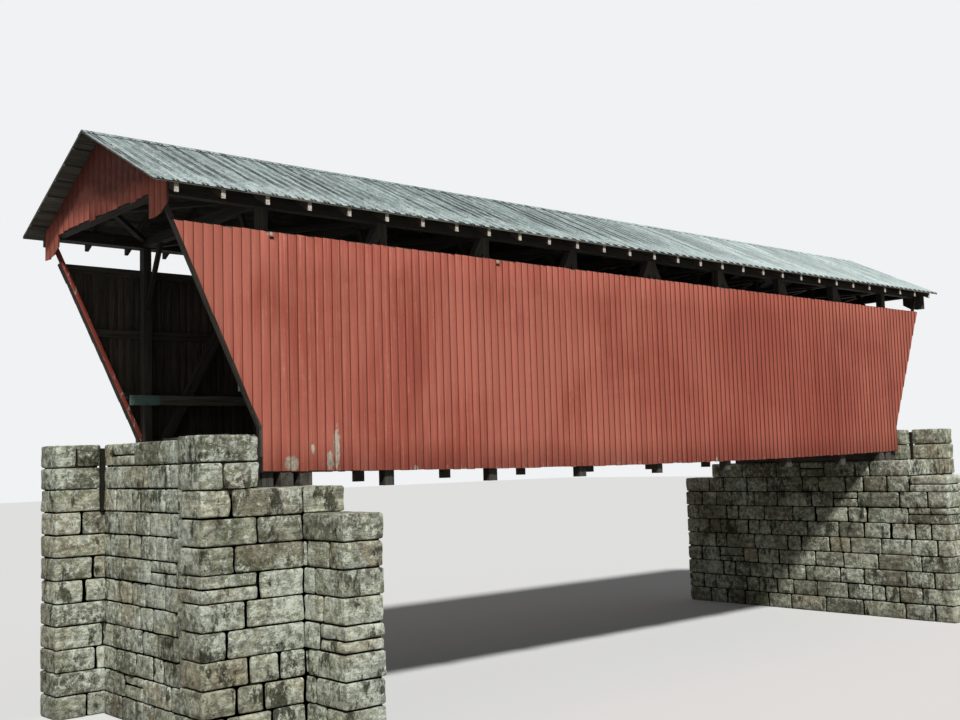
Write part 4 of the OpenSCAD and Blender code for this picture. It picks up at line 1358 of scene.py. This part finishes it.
def heads(name, places, turn, slot, **sizes):
    """One piece of heads at these places, each turned by the same angles."""
    piece = run_tree(mesh_object(name, places), HEADS, {"Turn": turn, "Material": rusty_iron, **sizes})
    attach(piece, "root")
    print(name, len(places), "heads")


print("tree", HEADS.name, "has", len(HEADS.nodes), "nodes")

# %% [markdown]
# A wall board has two nails at each girt, the right one a little higher. The roof's nails sit on the crimps
# over each roof board, on the first crimp of a pair in one row and on the second in the next.

# %% Nails
NAIL_LEVELS = (SIDING_FOOT + 0.11, DECK_TOP + 0.9, DECK_TOP + 2.1, SIDING_TOP - 0.075)
NAIL_SHARES = (0.22, 0.7)    # places of a board's two nails across it
NAIL_STEP_UP = 0.03          # how much higher the right one is
ROOF_BOARDS, ROOF_BOARD_STEP = 7, 0.4036

for side, word in SIDES:
    places = []
    for row in wall_boards[word]:
        wide = row["right"] - row["left"]
        for z in NAIL_LEVELS:
            for part in NAIL_SHARES:
                if abs(row["left"]) < END_X - 0.3 and row["low_left"] < z < row["high_left"]:
                    u = row["left"] + wide * part
                    depth = row["front"] + row["tuck"] * part
                    places.append((-side * u, side * (WALL_OUT - depth + 0.0005), z + NAIL_STEP_UP * (part > 0.5)))
    heads(word + "_siding_nails", places, (-side * math.pi / 2, 0.0, 0.0), "red_boards", Radius=0.005)
    places = []
    rise = SHEET_LIFT + SHEET_DEPTH / 2 + 0.001
    for k in range(ROOF_BOARDS):
        down = SLOPE_LENGTH - 0.06 - ROOF_BOARD_STEP * (k + 0.25)
        for i in range(0, PAIRS, 2):
            places.append((-side * (-SHEET_END + (i + FIRST_CRIMP + 2 * CRIMP_OUT * (k % 2)) * PAIR_PITCH),
                           side * (down * COS + rise * SIN), SHEET_TOP - down * SIN + rise * COS))
    heads(word + "_roof_nails", places, (-side * ROOF_PITCH, 0.0, 0.0), "galvanised_sheet", Radius=0.009,
          Height=0.005)

# %% [markdown]
# Two bolts go through chord and post at each joint of the truss, one high and one low. Each has a round
# washer against the timber and a six-sided head on it.

# %% Bolts
WASHER = 0.008                                # thickness of a washer
BOLT_PLACES = ((-0.04, 0.2), (0.04, -0.2))    # place along the chord, and over its middle as a share of its depth

for chord in ("bottom_chord", "top_chord"):
    for side, word in SIDES:
        node = f"{word}_{chord}"
        inner_y = min(reach(node, 1), key=abs)
        low, top = reach(node, 2)
        turn = (side * math.pi / 2, 0.0, 0.0)
        places = [(PANEL * (k - PANELS / 2) + dx, inner_y, low + (top - low) * (0.5 + up))
                  for k in range(PANELS + 1) for dx, up in BOLT_PLACES]
        heads(node + "_washers", places, turn, "frame_timber", Sides=12, Radius=0.032, Height=WASHER)
        heads(node + "_bolts", [(x, y - side * WASHER, z) for x, y, z in places], turn, "frame_timber",
              Sides=6, Radius=0.018, Height=0.024)

# %% [markdown]
# ## Light and floor
#
# A broad soft lamp stands where the sun stood in the photo: the gable's shadow on itself gives its height,
# 45 degrees, and its bearing. A pale world fills the shade. The floor shows pale to the camera but throws
# back less light than it seems to, so the underside of the bridge stays dark, as in the photo.

# %% Floor
FLOOR_REACH = 160.0
FLOOR_LIT, FLOOR_SEEN = (0.22, 0.21, 0.19, 1.0), (0.82, 0.815, 0.8, 1.0)
CORNERS = ((-1, -1), (1, -1), (1, 1), (-1, 1))


def emptied(owner):
    """A Graph on the cleared node tree of a material or world."""
    owner.use_nodes = True
    owner.node_tree.nodes.clear()
    return Graph(owner.node_tree)


def looked_at(g):
    """1 for a ray from the camera, also by way of metal or glass, and 0 for one that only carries light."""
    ray = {s.name: Value(g, s) for s in g.tree.nodes.new("ShaderNodeLightPath").outputs}
    passed_on = g.math("MAXIMUM", ray["Is Glossy Ray"], ray["Is Transmission Ray"])
    return g.math("MAXIMUM", ray["Is Camera Ray"], passed_on)


floor = link(mesh_object("floor", [(x * FLOOR_REACH, y * FLOOR_REACH, 0) for x, y in CORNERS], [(0, 1, 2, 3)]))
floor_material = bpy.data.materials.new("pale_floor")
g = emptied(floor_material)
plain = g.node("ShaderNodeBsdfDiffuse", {"Color": FLOOR_LIT})
pale = g.node("ShaderNodeBsdfDiffuse", {"Color": FLOOR_SEEN})
g.node("ShaderNodeOutputMaterial", {"Surface": g.node("ShaderNodeMixShader", {0: looked_at(g), 1: plain, 2: pale})})
floor.data.materials.append(floor_material)
floor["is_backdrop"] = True
print("floor", 2 * FLOOR_REACH, "m wide")

# %% [markdown]
# The world has two strengths, as the floor has two colours: what the camera sees is nearly white, and what
# lights the bridge is weak, so that the shaded sides stay dark beside the sunlit ones.

# %% Lamp and world
SUN_FROM = Vector((-0.317, -0.632, 0.707)).normalized()
SUN_STRENGTH, SUN_SPREAD = 3.35, math.radians(5)
WORLD_SEEN, WORLD_LIGHT = 0.75, 0.15    # how much brighter the world looks than it lights, and its light

bpy.context.scene.view_settings.view_transform = "Standard"
sun = link(bpy.data.objects.new("soft_sun", bpy.data.lights.new("soft_sun", "SUN")))
sun.data.energy = SUN_STRENGTH
sun.data.angle = SUN_SPREAD
sun.rotation_euler = SUN_FROM.to_track_quat("Z", "Y").to_euler()

world = bpy.data.worlds.new("studio")
bpy.context.scene.world = world
g = emptied(world)
g.node("ShaderNodeOutputWorld", {"Surface": g.node("ShaderNodeBackground", {
    "Color": (0.97, 0.985, 1.0, 1.0), "Strength": looked_at(g) * WORLD_SEEN + WORLD_LIGHT})})
print("lamp from", [round(v, 2) for v in SUN_FROM])

# %% [markdown]
# ## Sizes
#
# The looks must not grow past the CAD model's box, so both boxes are written side by side.

# %% Write the sizes
visual_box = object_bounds()
for word, box in (("CAD box", cad_box), ("visual box", visual_box)):
    print(word, [[round(v, 4) for v in corner] for corner in box])
